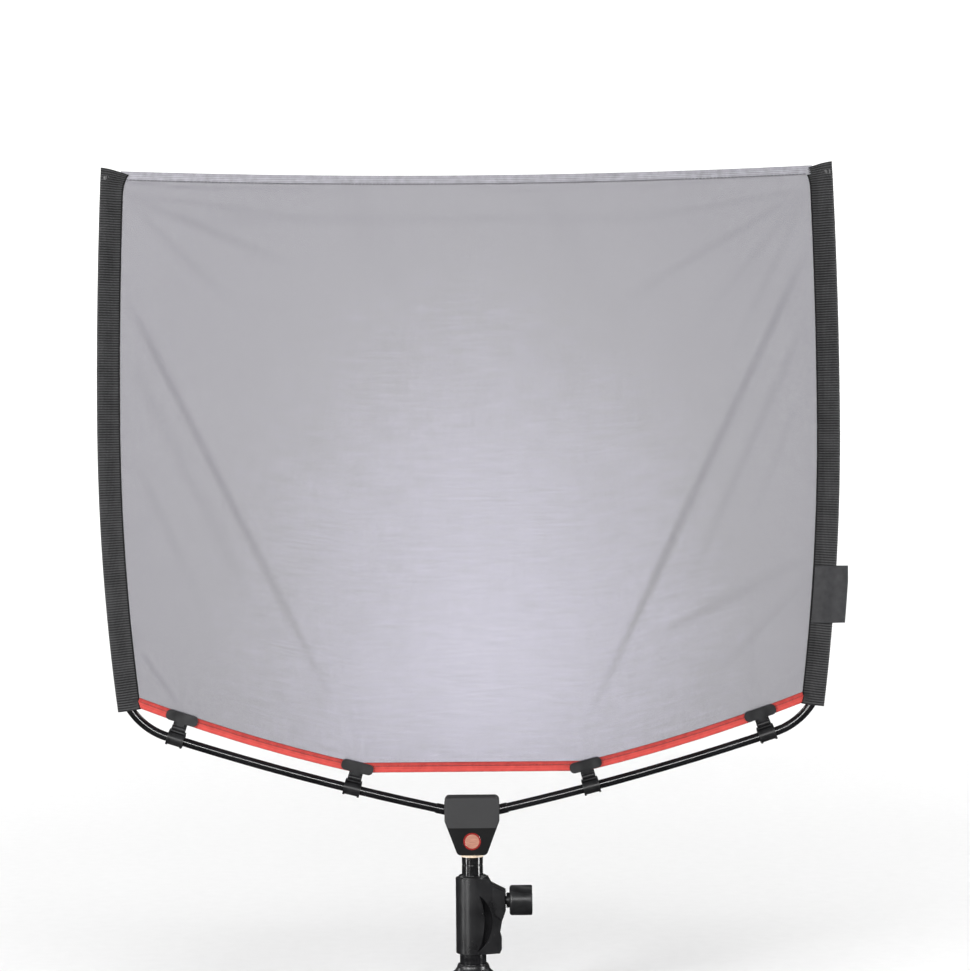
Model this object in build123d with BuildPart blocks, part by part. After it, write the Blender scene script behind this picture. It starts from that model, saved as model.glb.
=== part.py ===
"""Fabric net flag on a central hub, standing on the top clamp of a telescopic stand.

Millimetres, +Z up, +X to the right, the front faces -Y.  The origin is on the stand's axis,
at the mouth of the lowest collar.
"""
from build123d import *
import os
from math import asin, atan2, cos, degrees, radians, sin, sqrt, tan

os.makedirs("parts", exist_ok=True)

# ---- driving dimensions: stand column ----
riser_diameter = 20.0
tube_wall = 1.2
tube_step = 5.0                 # each stage of the stand is so much wider than the one above
running_gap = 0.05              # radial clearance of every sliding or turning fit
bush_lip = 1.5

collar_wall = 4.0
collar_bore_length = 28.0
collar_height = 42.5
collar_dome = 7.0
collar_rim = 2.5                # width of the dome's flat top round the tube
collar_groove = 0.8
tube_show = 11.0                # lower tube seen between the collar and the clamp barrel

barrel_wall = 3.5               # at the barrel's widest, round the lower tube
barrel_height = 71.1
barrel_bulge = 0.9
barrel_tube_seat = 42.0         # how far the lower tube goes up into the barrel
top_bush_length = 9.0
bush_collar_height = 2.4
bush_collar_width = 2.1
boss_show = 15.4                # how far the boss stands out past the barrel
boss_half_width = 10.0
boss_cheek = 11.2               # half the width over the boss's flat cheeks
boss_nose_over = 9.5            # flat end of the boss, over the knob's axis
boss_nose_under = 8.0           # and under it
boss_back_over = 16.5           # where the boss's slopes meet the barrel, over the knob's axis
boss_back_under = 18.0
crescent_floor = 7.8            # finger groove's floor, from the barrel's middle plane
crescent_guard = 1.3            # wall left round the lower tube behind the groove
knob_below_top = 22.0
riser_show = 19.8               # riser seen between the barrel and the washer
riser_crimp_below_top = 7.5
riser_crimp_depth = 0.5

stud_diameter = 15.88           # 5/8 inch stand spigot
stud_engagement = 32.0
stud_spigot = 26.0
stud_groove_depth = 1.0
stud_groove_width = 9.0
end_bush_length = 10.0
washer_thickness = 2.4
washer_rim = 0.6                # washer wider than what it lies between

# ---- driving dimensions: clamp screw ----
clamp_screw_diameter = 8.0
clamp_pad_diameter = 12.0
clamp_pad_length = 5.0
clamp_insert_diameter = 13.0
clamp_knob_radius = 14.2
clamp_knob_length = 21.5
clamp_knob_neck = 3.0
clamp_knob_turn = 15.0          # degrees that a lobe stands above the front
knob_flute_radius = 6.6
knob_flute_neck_depth = 1.6     # the flutes run deeper towards the outer end
knob_flute_end_depth = 6.6
clamp_travel = 1.875            # 540 degrees of 1.25 mm pitch

# ---- driving dimensions: hub ----
hub_width = 52.0
hub_foot_width = 27.5
hub_height = 54.6
hub_depth = 28.0
hub_foot_depth = 24.4
hub_wall = 2.6
hub_shoulder = 32.5             # from the hub's foot to where its sides start to taper
hub_crease = 25.9               # from the hub's foot to the crease across its front
hub_corner = 4.5
hub_edge = 1.6                  # rounding of the casing's front and rear edges
crossing_below_top = 12.4       # rods' crossing, under the hub's top
hub_screw_below_top = 4.2
hub_screw_over_foot = 24.5
hub_screw_spacing_top = 41.0
hub_screw_spacing_low = 33.0
hub_screw_boss_radius = 2.9
hub_screw_shank = 7.5           # in the front half
hub_screw_recess = 1.4          # of the head, in the rear half
badge_diameter = 14.6
badge_height = 13.2             # from the hub's foot
socket_wall = 2.0
lock_height = 16.0              # from the hub's foot to the rear lock screw
lock_screw_diameter = 6.0
lock_pad_diameter = 7.0
lock_boss_length = 5.0
lock_travel = 1.5               # 540 degrees of 1.0 mm pitch
lock_knob_radius = 11.0
lock_knob_length = 11.0
lock_knob_neck_radius = 6.0
lock_knob_neck = 3.0
lock_knob_flute_radius = 2.2

# ---- driving dimensions: flag frame and fabric ----
flag_half_width = 352.5         # to the sleeve's outer edge, where the flag is widest
flag_height = 611.5             # from the rods' crossing to the sleeve's top
widest_height = 369.0           # from the rods' crossing
rod_diameter = 8.4
rod_wall = 1.5
rod_exit_angle = 12.5           # degrees above level, where a rod leaves the hub
rod_bow_radius = 2680.0
corner_radius = 65.0
side_radius_low = 2150.0        # bow of the side rods below the widest point
side_radius_top = 5300.0        # and above it
ferrule_wall = 0.6
ferrule_show = 8.0
spigot_length = 60.0
joint_over_corner = 34.0        # joint of lower and side rod, above the rod's corner
sleeve_width = 22.0
sleeve_skin = 1.2
sleeve_under_corner = 31.0      # how far the sleeve goes down past the corner's end
rod_under_sleeve_top = 8.0
rod_tip_length = 6.0
rod_tip_plug = 12.0             # part of the tip inside the rod
net_thickness = 0.6
hem_height = 9.0
hem_thickness = 1.2
hem_sag = 8.0                   # the top edge dips by this in the middle
hem_below_sleeve = 2.0
binding_height = 9.5
binding_thickness = 1.8
binding_end_over_foot = 16.6    # binding's centre line where it meets the sleeve
binding_end_tuck = 4.0
label_height = 55.0
label_width = 29.0
label_overhang = 13.3
label_level = 201.0             # label's centre above the rods' crossing
label_thickness = 0.8

# ---- driving dimensions: hem clips ----
clip_spacings = {"inner": 113.5, "outer": 280.7}    # distance of each clip from the axis
clip_reach = 21.3               # from the rod's axis to the middle of the jaws
clip_hook_length = 16.0
clip_hook_wall = 2.4
clip_mouth = 6.4
clip_rib_length = 2.0
clip_rib_height = 0.8
clip_flange = 1.3               # how far the lip under the neck stands out
jaw_length = 31.0
jaw_height = 10.0
jaw_thickness = 2.3
neck_width = 13.0
clip_pin_diameter = 2.0
clip_pin_height = 11.0
clip_pin_front = 3.3

# ---- levels and radii that follow ----
riser_radius = riser_diameter / 2
lower_tube_diameter = riser_diameter + tube_step
base_tube_diameter = lower_tube_diameter + tube_step    # what the lowest collar is pressed on
lower_tube_radius = lower_tube_diameter / 2
lower_tube_bore = lower_tube_diameter / 2 - tube_wall
riser_bore = riser_radius - tube_wall
base_bore = base_tube_diameter / 2
collar_radius = base_bore + collar_wall
collar_dome_foot = collar_height - collar_dome
barrel_radius = lower_tube_radius + barrel_wall
boss_reach = barrel_radius + boss_show
stud_radius = stud_diameter / 2
barrel_foot = collar_height + tube_show
barrel_top = barrel_foot + barrel_height
lower_tube_foot = collar_bore_length + 0.5
lower_tube_top = barrel_foot + barrel_tube_seat
riser_foot = lower_tube_foot + 2.0
riser_top = barrel_top + riser_show
hub_foot = riser_top + washer_thickness + 0.2
hub_top = hub_foot + hub_height
knob_level = barrel_top - knob_below_top
lock_level = hub_foot + lock_height
crossing_level = hub_top - crossing_below_top
end_bush_foot = riser_foot - bush_lip
end_bush_top = riser_foot + end_bush_length
riser_travel = lower_tube_top - end_bush_top - 1.0

rod_radius = rod_diameter / 2
rod_slope = radians(rod_exit_angle)
ferrule_radius = rod_radius + ferrule_wall
rod_socket_bore = ferrule_radius + running_gap
rod_socket_radius = rod_socket_bore + 1.5
rod_exit_level = crossing_level - 0.3
ferrule_inner_x = 7.0
ferrule_outer_x = hub_width / 2 + ferrule_show
socket_bore = stud_radius + running_gap
socket_radius = socket_bore + socket_wall
sleeve_depth = rod_diameter + 2 * sleeve_skin
rod_inset = sleeve_depth / 2    # rod's axis inside the sleeve's outer edge


def rod_level(x):
    """Level of the straight part of the right rod's axis at a distance x from the column."""
    return rod_exit_level + (x - hub_width / 2) * tan(rod_slope)


socket_top = rod_level(4.0) - rod_socket_radius / cos(rod_slope) - 0.8
stud_top = hub_foot + min(stud_engagement, socket_top - hub_foot - 2.5)


# ---- centre line of the right rod, in the XZ plane ----
def circle_crossing(first, first_radius, second, second_radius):
    """Crossing of two circles on the lower right side of the line joining their centres."""
    dx, dz = second[0] - first[0], second[1] - first[1]
    gap = sqrt(dx * dx + dz * dz)
    along = (first_radius**2 - second_radius**2 + gap**2) / (2 * gap)
    across = sqrt(first_radius**2 - along**2)
    sides = []
    for side in (-1, 1):
        x = first[0] + (along * dx - side * across * dz) / gap
        z = first[1] + (along * dz + side * across * dx) / gap
        sides.append((x, z))
    return min(sides, key=lambda point: point[1])


def away(centre, through, radius):
    """Point at a radius from a centre, in the direction of another point."""
    dx, dz = through[0] - centre[0], through[1] - centre[1]
    length = sqrt(dx * dx + dz * dz)
    return (centre[0] + dx * radius / length, centre[1] + dz * radius / length)


widest_level = crossing_level + widest_height
rod_start = (ferrule_inner_x, rod_level(ferrule_inner_x))
bow_start = (ferrule_outer_x, rod_level(ferrule_outer_x))
bow_centre = (
    bow_start[0] - rod_bow_radius * sin(rod_slope),
    bow_start[1] + rod_bow_radius * cos(rod_slope),
)
low_centre = (flag_half_width - side_radius_low, widest_level)
top_centre = (flag_half_width - side_radius_top, widest_level)
low_rod_radius = side_radius_low - rod_inset
corner_centre = circle_crossing(
    low_centre, low_rod_radius - corner_radius, bow_centre, rod_bow_radius - corner_radius
)
corner_start = away(bow_centre, corner_centre, rod_bow_radius)
corner_end = away(low_centre, corner_centre, low_rod_radius)
corner_middle = away(
    corner_centre,
    ((corner_start[0] + corner_end[0]) / 2, (corner_start[1] + corner_end[1]) / 2),
    corner_radius,
)
joint_level = corner_end[1] + joint_over_corner
sleeve_foot = corner_end[1] - sleeve_under_corner
sleeve_top = crossing_level + flag_height
rod_top = sleeve_top - rod_under_sleeve_top


def side_point(level, inset):
    """Point of the flag's bowed right side at a level, a distance inside the outer edge."""
    centre, radius = (low_centre, side_radius_low) if level < widest_level else (
        top_centre, side_radius_top)
    reach = radius - inset
    return (centre[0] + sqrt(reach**2 - (level - widest_level)**2), level)


def bow_point(x):
    """Point of the right lower rod's bowed stretch, and its slope in radians."""
    angle = asin((x - bow_centre[0]) / rod_bow_radius)
    return (x, bow_centre[1] - rod_bow_radius * cos(angle)), angle


def side_path(low, high, inset):
    """Path along the bowed right side between two levels, in one or two arcs."""
    with BuildLine(Plane.XZ) as path:
        if low < widest_level:
            stop = min(high, widest_level)
            middle = (low + stop) / 2
            ThreePointArc(side_point(low, inset), side_point(middle, inset),
                          side_point(stop, inset))
        if high > widest_level:
            start = max(low, widest_level)
            middle = (start + high) / 2
            ThreePointArc(side_point(start, inset), side_point(middle, inset),
                          side_point(high, inset))
    return path.wires()[0]


def lower_rod_path():
    """Path from the hub, along the bow and round the corner, up to the rod joint."""
    bow_middle = bow_point((bow_start[0] + corner_start[0]) / 2)[0]
    rise_middle = (corner_end[1] + joint_level) / 2
    with BuildLine(Plane.XZ) as path:
        Line(rod_start, bow_start)
        ThreePointArc(bow_start, bow_middle, corner_start)
        ThreePointArc(corner_start, corner_middle, corner_end)
        ThreePointArc(corner_end, side_point(rise_middle, rod_inset),
                      side_point(joint_level, rod_inset))
    return path.wires()[0]


def ring_along(path, outer, inner=0.0):
    """Round bar or tube carried along a path."""
    with BuildPart() as bar:
        with BuildSketch(Plane(path @ 0, z_dir=path % 0)):
            Circle(outer)
            if inner:
                Circle(inner, mode=Mode.SUBTRACT)
        sweep(path=path)
    return bar.part


def keep(piece, name):
    """Label a finished piece and write it."""
    piece.part.label = name
    export_step(piece.part, f"parts/{name}.step")


def keep_mirrored(part, name):
    """Write the left-hand twin of a right-hand piece."""
    with BuildPart() as twin:
        mirror(part, about=Plane.YZ)
    keep(twin, name)


# ==== stand column ====
dome_top = collar_height - 1.0
dome_rim_radius = lower_tube_radius + collar_rim
with BuildPart() as lower_collar:
    with BuildSketch(Plane.XZ) as collar_profile:
        with BuildLine():
            Polyline((base_bore, 0), (collar_radius, 0), (collar_radius, collar_dome_foot))
            RadiusArc((collar_radius, collar_dome_foot), (dome_rim_radius, dome_top), 9)
            Polyline((dome_rim_radius, dome_top), (lower_tube_radius, dome_top),
                     (lower_tube_radius, collar_bore_length),
                     (base_bore, collar_bore_length), (base_bore, 0))
        make_face()
    revolve(axis=Axis.Z)
    with Locations((0, 0, collar_dome_foot - 3)):
        Torus(collar_radius, collar_groove, mode=Mode.SUBTRACT)
    collar_mouth = lower_collar.edges().filter_by(GeomType.CIRCLE).group_by(Axis.Z)[0]
    chamfer(collar_mouth.sort_by(SortBy.RADIUS)[-1], 1.0)
keep(lower_collar, "lower_collar")

with BuildPart() as lower_collar_ring:
    with BuildSketch(Plane.XY.offset(dome_top)):
        Circle(dome_rim_radius - 0.5)
        Circle(lower_tube_radius, mode=Mode.SUBTRACT)
    extrude(amount=1.6)
    chamfer(lower_collar_ring.edges().group_by(Axis.Z)[-1].sort_by(SortBy.RADIUS)[-1], 0.6)
keep(lower_collar_ring, "lower_collar_ring")

with BuildPart() as lower_tube:
    with BuildSketch(Plane.XY.offset(lower_tube_foot)):
        Circle(lower_tube_radius)
        Circle(lower_tube_bore, mode=Mode.SUBTRACT)
    extrude(amount=lower_tube_top - lower_tube_foot)
keep(lower_tube, "lower_tube")

top_bush_radius = riser_radius + bush_lip + 0.2
web_reach = boss_reach - 4.0
cheek_start = barrel_radius + 1.5
boss_back_top = knob_level + boss_back_over
boss_back_foot = knob_level - boss_back_under
boss_nose_top = knob_level + boss_nose_over
boss_nose_foot = knob_level - boss_nose_under
boss_waist = boss_reach - 3.5
with BuildPart() as boss_cheeks:
    with BuildSketch(Plane.XZ) as cheek_outline:
        with BuildLine():
            Polyline((cheek_start, boss_back_top), (boss_reach, boss_nose_top),
                     (boss_reach, boss_nose_foot), (boss_waist, boss_back_foot),
                     (cheek_start + 3.0, boss_back_foot + 5.0),
                     (cheek_start - 1.0, knob_level + 5.0), (cheek_start, boss_back_top))
        make_face()
    extrude(amount=boss_cheek, both=True)
    chamfer(boss_cheeks.faces().filter_by(Axis.Y).edges(), 1.2)

crescent_foot = (4.5, barrel_foot + 2.5)
crescent_top = (6.0, knob_level + 7.0)
crescent_middle = knob_level - 15.0
with BuildPart() as finger_grooves:
    for front in (-1, 1):
        with BuildSketch(Plane.XZ.offset(-front * crescent_floor)):
            with BuildLine():
                ThreePointArc(crescent_foot, (18.4, crescent_middle), crescent_top)
                ThreePointArc(crescent_top, (11.0, crescent_middle), crescent_foot)
            make_face()
        extrude(amount=-front * barrel_radius)
    with Locations((0, 0, knob_level)):
        Cylinder(lower_tube_radius + crescent_guard, 2 * barrel_height, mode=Mode.SUBTRACT)

with BuildPart() as clamp_barrel:
    with BuildSketch(Plane.XY.offset(barrel_foot)):
        Circle(barrel_radius)
        with Locations((boss_reach - boss_half_width, 0)):
            Circle(boss_half_width)
        make_hull()
    extrude(amount=barrel_height)
    with BuildSketch(Plane.XZ) as boss_side:
        with BuildLine():
            Polyline(
                (-barrel_radius - 1, barrel_foot),
                (web_reach - 2.0, barrel_foot),
                (web_reach, barrel_foot + 4.0),
                (web_reach, barrel_foot + 13.0),
                (web_reach - 1.8, barrel_foot + 19.0),
                (boss_waist, boss_back_foot),
                (boss_reach, boss_nose_foot),
                (boss_reach, boss_nose_top),
                (cheek_start, boss_back_top),
                (barrel_radius - 1.5, barrel_top),
                (-barrel_radius - 1, barrel_top),
                (-barrel_radius - 1, barrel_foot),
            )
        make_face()
        boss_corners = boss_side.vertices().filter_by_position(Axis.X, 1, 2 * boss_reach)
        fillet(boss_corners.filter_by_position(Axis.Y, barrel_foot + 1, barrel_top - 1), 2.0)
    extrude(amount=barrel_radius + 5, both=True, mode=Mode.INTERSECT)
    barrel_end = barrel_radius - barrel_bulge
    with BuildSketch(Plane.XZ):
        with BuildLine():
            Polyline((0, barrel_top), (0, barrel_foot), (barrel_end - 0.8, barrel_foot),
                     (barrel_end, barrel_foot + 0.8))
            ThreePointArc((barrel_end, barrel_foot + 0.8),
                          (barrel_radius, barrel_foot + 0.45 * barrel_height),
                          (barrel_end, barrel_top - 3.0))
            RadiusArc((barrel_end, barrel_top - 3.0), (barrel_end - 2.0, barrel_top), -4.5)
            Line((barrel_end - 2.0, barrel_top), (0, barrel_top))
        make_face()
    revolve(axis=Axis.Z)
    add(finger_grooves.part, mode=Mode.SUBTRACT)
    add(boss_cheeks.part)
    with BuildSketch(Plane.XY.offset(barrel_foot)):
        Circle(lower_tube_radius)
    extrude(amount=barrel_tube_seat, mode=Mode.SUBTRACT)
    with BuildSketch(Plane.XY.offset(lower_tube_top)):
        Circle(riser_radius + 0.4)
    extrude(amount=barrel_height, mode=Mode.SUBTRACT)
    with BuildSketch(Plane.XY.offset(barrel_top - top_bush_length)):
        Circle(top_bush_radius)
    extrude(amount=barrel_height, mode=Mode.SUBTRACT)
    with BuildSketch(Plane(origin=(0, 0, knob_level), z_dir=(1, 0, 0))):
        Circle(clamp_pad_diameter / 2 + running_gap)
    extrude(amount=boss_reach + 1, mode=Mode.SUBTRACT)
    insert_start = riser_radius + 0.1 + clamp_pad_length + clamp_travel + 1.5
    with BuildSketch(Plane(origin=(insert_start, 0, knob_level), z_dir=(1, 0, 0))):
        Circle(clamp_insert_diameter / 2)
    extrude(amount=boss_reach, mode=Mode.SUBTRACT)
keep(clamp_barrel, "clamp_barrel")

with BuildPart() as barrel_top_bush:
    with BuildSketch(Plane.XY.offset(barrel_top - top_bush_length)):
        Circle(top_bush_radius)
        Circle(riser_radius + running_gap, mode=Mode.SUBTRACT)
    extrude(amount=top_bush_length)
    with BuildSketch(Plane.XY.offset(barrel_top)):
        Circle(top_bush_radius + bush_collar_width)
        Circle(riser_radius + running_gap, mode=Mode.SUBTRACT)
    extrude(amount=bush_collar_height)
    chamfer(barrel_top_bush.edges().group_by(Axis.Z)[-1].sort_by(SortBy.RADIUS)[-1], 1.4)
keep(barrel_top_bush, "barrel_top_bush")

with BuildPart() as clamp_insert:
    with BuildSketch(Plane(origin=(insert_start, 0, knob_level), z_dir=(1, 0, 0))):
        Circle(clamp_insert_diameter / 2)
        Circle(clamp_screw_diameter / 2 + running_gap, mode=Mode.SUBTRACT)
    extrude(amount=boss_reach - 0.4 - insert_start)
keep(clamp_insert, "clamp_thread_insert")

pad_start = riser_radius + 0.1
pad_end = pad_start + clamp_pad_length
pad_hole_radius = clamp_screw_diameter / 4
with BuildPart() as clamp_pad:
    with BuildSketch(Plane(origin=(pad_start - 2.5, 0, knob_level), z_dir=(1, 0, 0))):
        Circle(clamp_pad_diameter / 2)
    extrude(amount=clamp_pad_length + 2.5)
    with Locations((0, 0, knob_level)):
        Cylinder(pad_start, clamp_pad_diameter + 2, mode=Mode.SUBTRACT)
    with BuildSketch(Plane(origin=(pad_end, 0, knob_level), z_dir=(-1, 0, 0))):
        Circle(pad_hole_radius)
    extrude(amount=2.6, mode=Mode.SUBTRACT)
keep(clamp_pad, "clamp_pad")

knob_start = boss_reach + 0.6
knob_end = knob_start + clamp_knob_neck + clamp_knob_length
knob_cap_depth = 1.6
with BuildPart() as clamp_screw:
    with BuildSketch(Plane(origin=(pad_end - 2.5, 0, knob_level), z_dir=(1, 0, 0))):
        Circle(pad_hole_radius - running_gap)
    extrude(amount=2.6)
    with BuildSketch(Plane(origin=(pad_end + 0.05, 0, knob_level), z_dir=(1, 0, 0))):
        Circle(clamp_screw_diameter / 2)
    extrude(amount=knob_end - 6.0 - pad_end)
keep(clamp_screw, "clamp_screw")

knob_body_start = knob_start + clamp_knob_neck


def flute_point(x, depth, turn):
    """Point on the axis of a knob flute of a given depth, turned up from the front."""
    reach = clamp_knob_radius + knob_flute_radius - depth
    return Vector(x, -reach * cos(turn), knob_level + reach * sin(turn))


with BuildPart() as clamp_knob:
    with BuildSketch(Plane(origin=(knob_start, 0, knob_level), z_dir=(1, 0, 0))):
        Circle(clamp_knob_radius / 2)
    extrude(amount=clamp_knob_neck + 1)
    with BuildSketch(Plane(origin=(knob_body_start, 0, knob_level), z_dir=(1, 0, 0))):
        Circle(clamp_knob_radius)
    extrude(amount=clamp_knob_length)
    fillet(clamp_knob.faces().sort_by(Axis.X)[-1].edges(), 1.4)
    body_back = clamp_knob.edges().filter_by(GeomType.CIRCLE).filter_by_position(
        Axis.X, knob_body_start - 0.1, knob_body_start + 0.1)
    fillet(body_back.sort_by(SortBy.RADIUS)[-1], 2.5)
    for quarter in range(4):
        turn = radians(clamp_knob_turn + 45 + 90 * quarter)
        flute_start = flute_point(knob_body_start, knob_flute_neck_depth, turn)
        flute_end = flute_point(knob_end, knob_flute_end_depth, turn)
        flute = Plane(origin=flute_start, z_dir=flute_end - flute_start)
        with BuildSketch(flute.offset(-clamp_knob_neck)):
            Circle(knob_flute_radius)
        extrude(amount=2 * clamp_knob_length, mode=Mode.SUBTRACT)
    with BuildSketch(Plane(origin=(knob_end, 0, knob_level), z_dir=(-1, 0, 0))):
        Circle(clamp_knob_radius / 2)
    extrude(amount=knob_cap_depth, mode=Mode.SUBTRACT)
    with BuildSketch(Plane(origin=(knob_start, 0, knob_level), z_dir=(1, 0, 0))):
        Circle(clamp_screw_diameter / 2)
    extrude(amount=knob_end - 5.95 - knob_start, mode=Mode.SUBTRACT)
keep(clamp_knob, "clamp_knob")

with BuildPart() as clamp_knob_cap:
    with BuildSketch(Plane(origin=(knob_end, 0, knob_level), z_dir=(-1, 0, 0))):
        Circle(clamp_knob_radius / 2)
    extrude(amount=knob_cap_depth)
    chamfer(clamp_knob_cap.faces().sort_by(Axis.X)[-1].edges(), 0.4)
keep(clamp_knob_cap, "clamp_knob_cap")

# ==== riser ====
with BuildPart() as riser_tube:
    with BuildSketch(Plane.XY.offset(riser_foot)):
        Circle(riser_radius)
        Circle(riser_bore, mode=Mode.SUBTRACT)
    extrude(amount=riser_top - riser_foot)
    with Locations((0, 0, riser_top - riser_crimp_below_top)):
        Torus(riser_radius + 0.3, riser_crimp_depth + 0.3, mode=Mode.SUBTRACT)
keep(riser_tube, "riser_tube")

with BuildPart() as riser_end_bush:
    with BuildSketch(Plane.XY.offset(end_bush_foot)):
        Circle(lower_tube_bore - running_gap)
        Circle(riser_bore, mode=Mode.SUBTRACT)
    extrude(amount=end_bush_top - end_bush_foot)
    with BuildSketch(Plane.XY.offset(riser_foot)):
        Circle(riser_radius)
    extrude(amount=end_bush_length, mode=Mode.SUBTRACT)
keep(riser_end_bush, "riser_end_bush")

groove_floor = stud_radius - stud_groove_depth
with BuildPart() as riser_stud:
    with BuildSketch(Plane.XY.offset(riser_top - stud_spigot)):
        Circle(riser_bore)
    extrude(amount=stud_spigot)
    with BuildSketch(Plane.XY.offset(riser_top)):
        Circle(stud_radius)
    extrude(amount=stud_top - riser_top)
    chamfer(riser_stud.edges().group_by(Axis.Z)[-1], 1.5)
    with BuildSketch(Plane.XY.offset(lock_level - stud_groove_width / 2)):
        Circle(stud_radius + 2)
        Circle(groove_floor, mode=Mode.SUBTRACT)
    extrude(amount=stud_groove_width, mode=Mode.SUBTRACT)
    with Locations((0, 0, riser_top - riser_crimp_below_top)):
        Torus(riser_radius + 0.3, riser_crimp_depth + 0.3, mode=Mode.SUBTRACT)
keep(riser_stud, "riser_stud")

with BuildPart() as stud_washer:
    with BuildSketch(Plane.XY.offset(riser_top)):
        Circle(max(riser_radius, socket_radius) + washer_rim)
        Circle(stud_radius + running_gap, mode=Mode.SUBTRACT)
    extrude(amount=washer_thickness)
    chamfer(stud_washer.edges().group_by(Axis.Z)[-1].sort_by(SortBy.RADIUS)[-1], 0.5)
keep(stud_washer, "stud_washer")

# ==== hub ====
shoulder_level = hub_foot + hub_shoulder
crease_level = hub_foot + hub_crease
half_hub_depth = hub_depth / 2
half_foot_depth = hub_foot_depth / 2
half_hub_width = hub_width / 2


def hub_outline(inset):
    """Front outline of the hub, drawn in by a wall's thickness."""
    with BuildSketch(Plane.XZ) as outline:
        with BuildLine():
            Polyline((-half_hub_width, hub_top), (half_hub_width, hub_top),
                     (half_hub_width, shoulder_level), (hub_foot_width / 2, hub_foot),
                     (-hub_foot_width / 2, hub_foot), (-half_hub_width, shoulder_level),
                     (-half_hub_width, hub_top))
        make_face()
        fillet(outline.vertices(), hub_corner)
        if inset:
            offset(amount=-inset, kind=Kind.INTERSECTION, mode=Mode.REPLACE)
    return outline.sketch


rod_axis_plane = Plane(
    origin=(0, 0, rod_level(0)), x_dir=(0, 1, 0), z_dir=(cos(rod_slope), 0, sin(rod_slope))
)
socket_inner = 4.0 / cos(rod_slope)
boss_places = [
    (hand * spacing / 2, level) for hand in (-1, 1)
    for spacing, level in ((hub_screw_spacing_top, hub_top - hub_screw_below_top),
                           (hub_screw_spacing_low, hub_foot + hub_screw_over_foot))
]
screw_head_level = half_foot_depth - hub_screw_recess
slope_angle = degrees(atan2(half_hub_depth - half_foot_depth, hub_crease))


def hub_shell(side):
    """Half of the hub's casing: side -1 is the front half and +1 the rear half."""
    with BuildPart() as shell:
        extrude(hub_outline(0), amount=-side * half_hub_depth)
        fillet(shell.faces().sort_by(Axis.Y)[-1 if side > 0 else 0].edges(), hub_edge)
        crease_plane = Plane(
            origin=(0, side * half_hub_depth, crease_level),
            z_dir=(0, side * cos(radians(slope_angle)), -sin(radians(slope_angle))),
            x_dir=(1, 0, 0),
        )
        with BuildSketch(crease_plane):
            Rectangle(2 * hub_width, 4 * hub_crease)
        extrude(amount=hub_depth, mode=Mode.SUBTRACT)
        extrude(hub_outline(hub_wall), amount=-side * (half_foot_depth - hub_wall),
                mode=Mode.SUBTRACT)
        with BuildSketch(Plane.XZ):
            with Locations(*boss_places):
                Circle(hub_screw_boss_radius)
        extrude(amount=-side * (half_foot_depth - hub_wall + 0.5))
        with BuildSketch(Plane.XY.offset(hub_foot - 1)):
            Circle(socket_radius)
        extrude(amount=socket_top - hub_foot + 1, mode=Mode.SUBTRACT)
        for hand in (-1, 1):
            with BuildSketch(Plane(
                origin=(0, 0, rod_level(0)), x_dir=(0, 1, 0),
                z_dir=(hand * cos(rod_slope), 0, sin(rod_slope)),
            ).offset(socket_inner)):
                Circle(rod_socket_radius)
            extrude(amount=hub_width, mode=Mode.SUBTRACT)
    return shell.part


screw_radius = 1.25
screw_head_radius = 2.6
screw_head_depth = 2.2
with BuildPart() as hub_front_shell:
    add(hub_shell(-1))
    with BuildSketch(Plane.XZ):
        with Locations(*boss_places):
            Circle(screw_radius)
    extrude(amount=hub_screw_shank + 0.5, mode=Mode.SUBTRACT)
    badge_plane = Plane(
        origin=(0, -half_foot_depth - tan(radians(slope_angle)) * badge_height,
                hub_foot + badge_height),
        x_dir=(1, 0, 0),
        z_dir=(0, -cos(radians(slope_angle)), -sin(radians(slope_angle))),
    )
    with BuildSketch(badge_plane):
        Circle(badge_diameter / 2 + 0.9)
    extrude(amount=-0.8, mode=Mode.SUBTRACT)
keep(hub_front_shell, "hub_front_shell")

lock_plane = Plane(origin=(0, 0, lock_level), x_dir=(1, 0, 0), z_dir=(0, 1, 0))
lock_boss_end = half_hub_depth + lock_boss_length
lock_pad_radius = lock_pad_diameter / 2
lock_insert_radius = lock_screw_diameter / 2 + 2.0
lock_pad_start = groove_floor + 0.1
lock_pad_end = lock_pad_start + 4.6
lock_insert_start = lock_pad_end + lock_travel + 0.3
with BuildPart() as hub_back_shell:
    add(hub_shell(1))
    with BuildSketch(lock_plane.offset(socket_radius + 0.2)):
        Circle(lock_insert_radius + 2.4)
    extrude(amount=lock_boss_end - socket_radius - 0.2)
    with BuildSketch(lock_plane.offset(socket_bore)):
        Circle(lock_insert_radius)
    extrude(amount=hub_depth, mode=Mode.SUBTRACT)
    for place in boss_places:
        with BuildSketch(Plane(origin=(place[0], 0, place[1]), z_dir=(0, 1, 0))):
            Circle(screw_radius + 0.15)
        extrude(amount=hub_depth, mode=Mode.SUBTRACT)
        with BuildSketch(Plane(origin=(place[0], screw_head_level, place[1]), z_dir=(0, 1, 0))):
            Circle(screw_head_radius)
        extrude(amount=hub_depth, mode=Mode.SUBTRACT)
keep(hub_back_shell, "hub_back_shell")

with BuildPart() as hub_screws:
    for place in boss_places:
        screw_plane = Plane(origin=(place[0], -hub_screw_shank, place[1]), z_dir=(0, 1, 0))
        with BuildSketch(screw_plane):
            Circle(screw_radius)
        extrude(amount=hub_screw_shank + screw_head_level)
        with BuildSketch(Plane(origin=(place[0], screw_head_level, place[1]), z_dir=(0, 1, 0))):
            Circle(screw_head_radius - 0.1)
            RegularPolygon(1.3, 6, mode=Mode.SUBTRACT)
        extrude(amount=screw_head_depth)
        with BuildSketch(Plane(origin=(place[0], screw_head_level, place[1]), z_dir=(0, 1, 0))):
            Circle(1.5)
        extrude(amount=1.0)
keep(hub_screws, "hub_screws")

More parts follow.
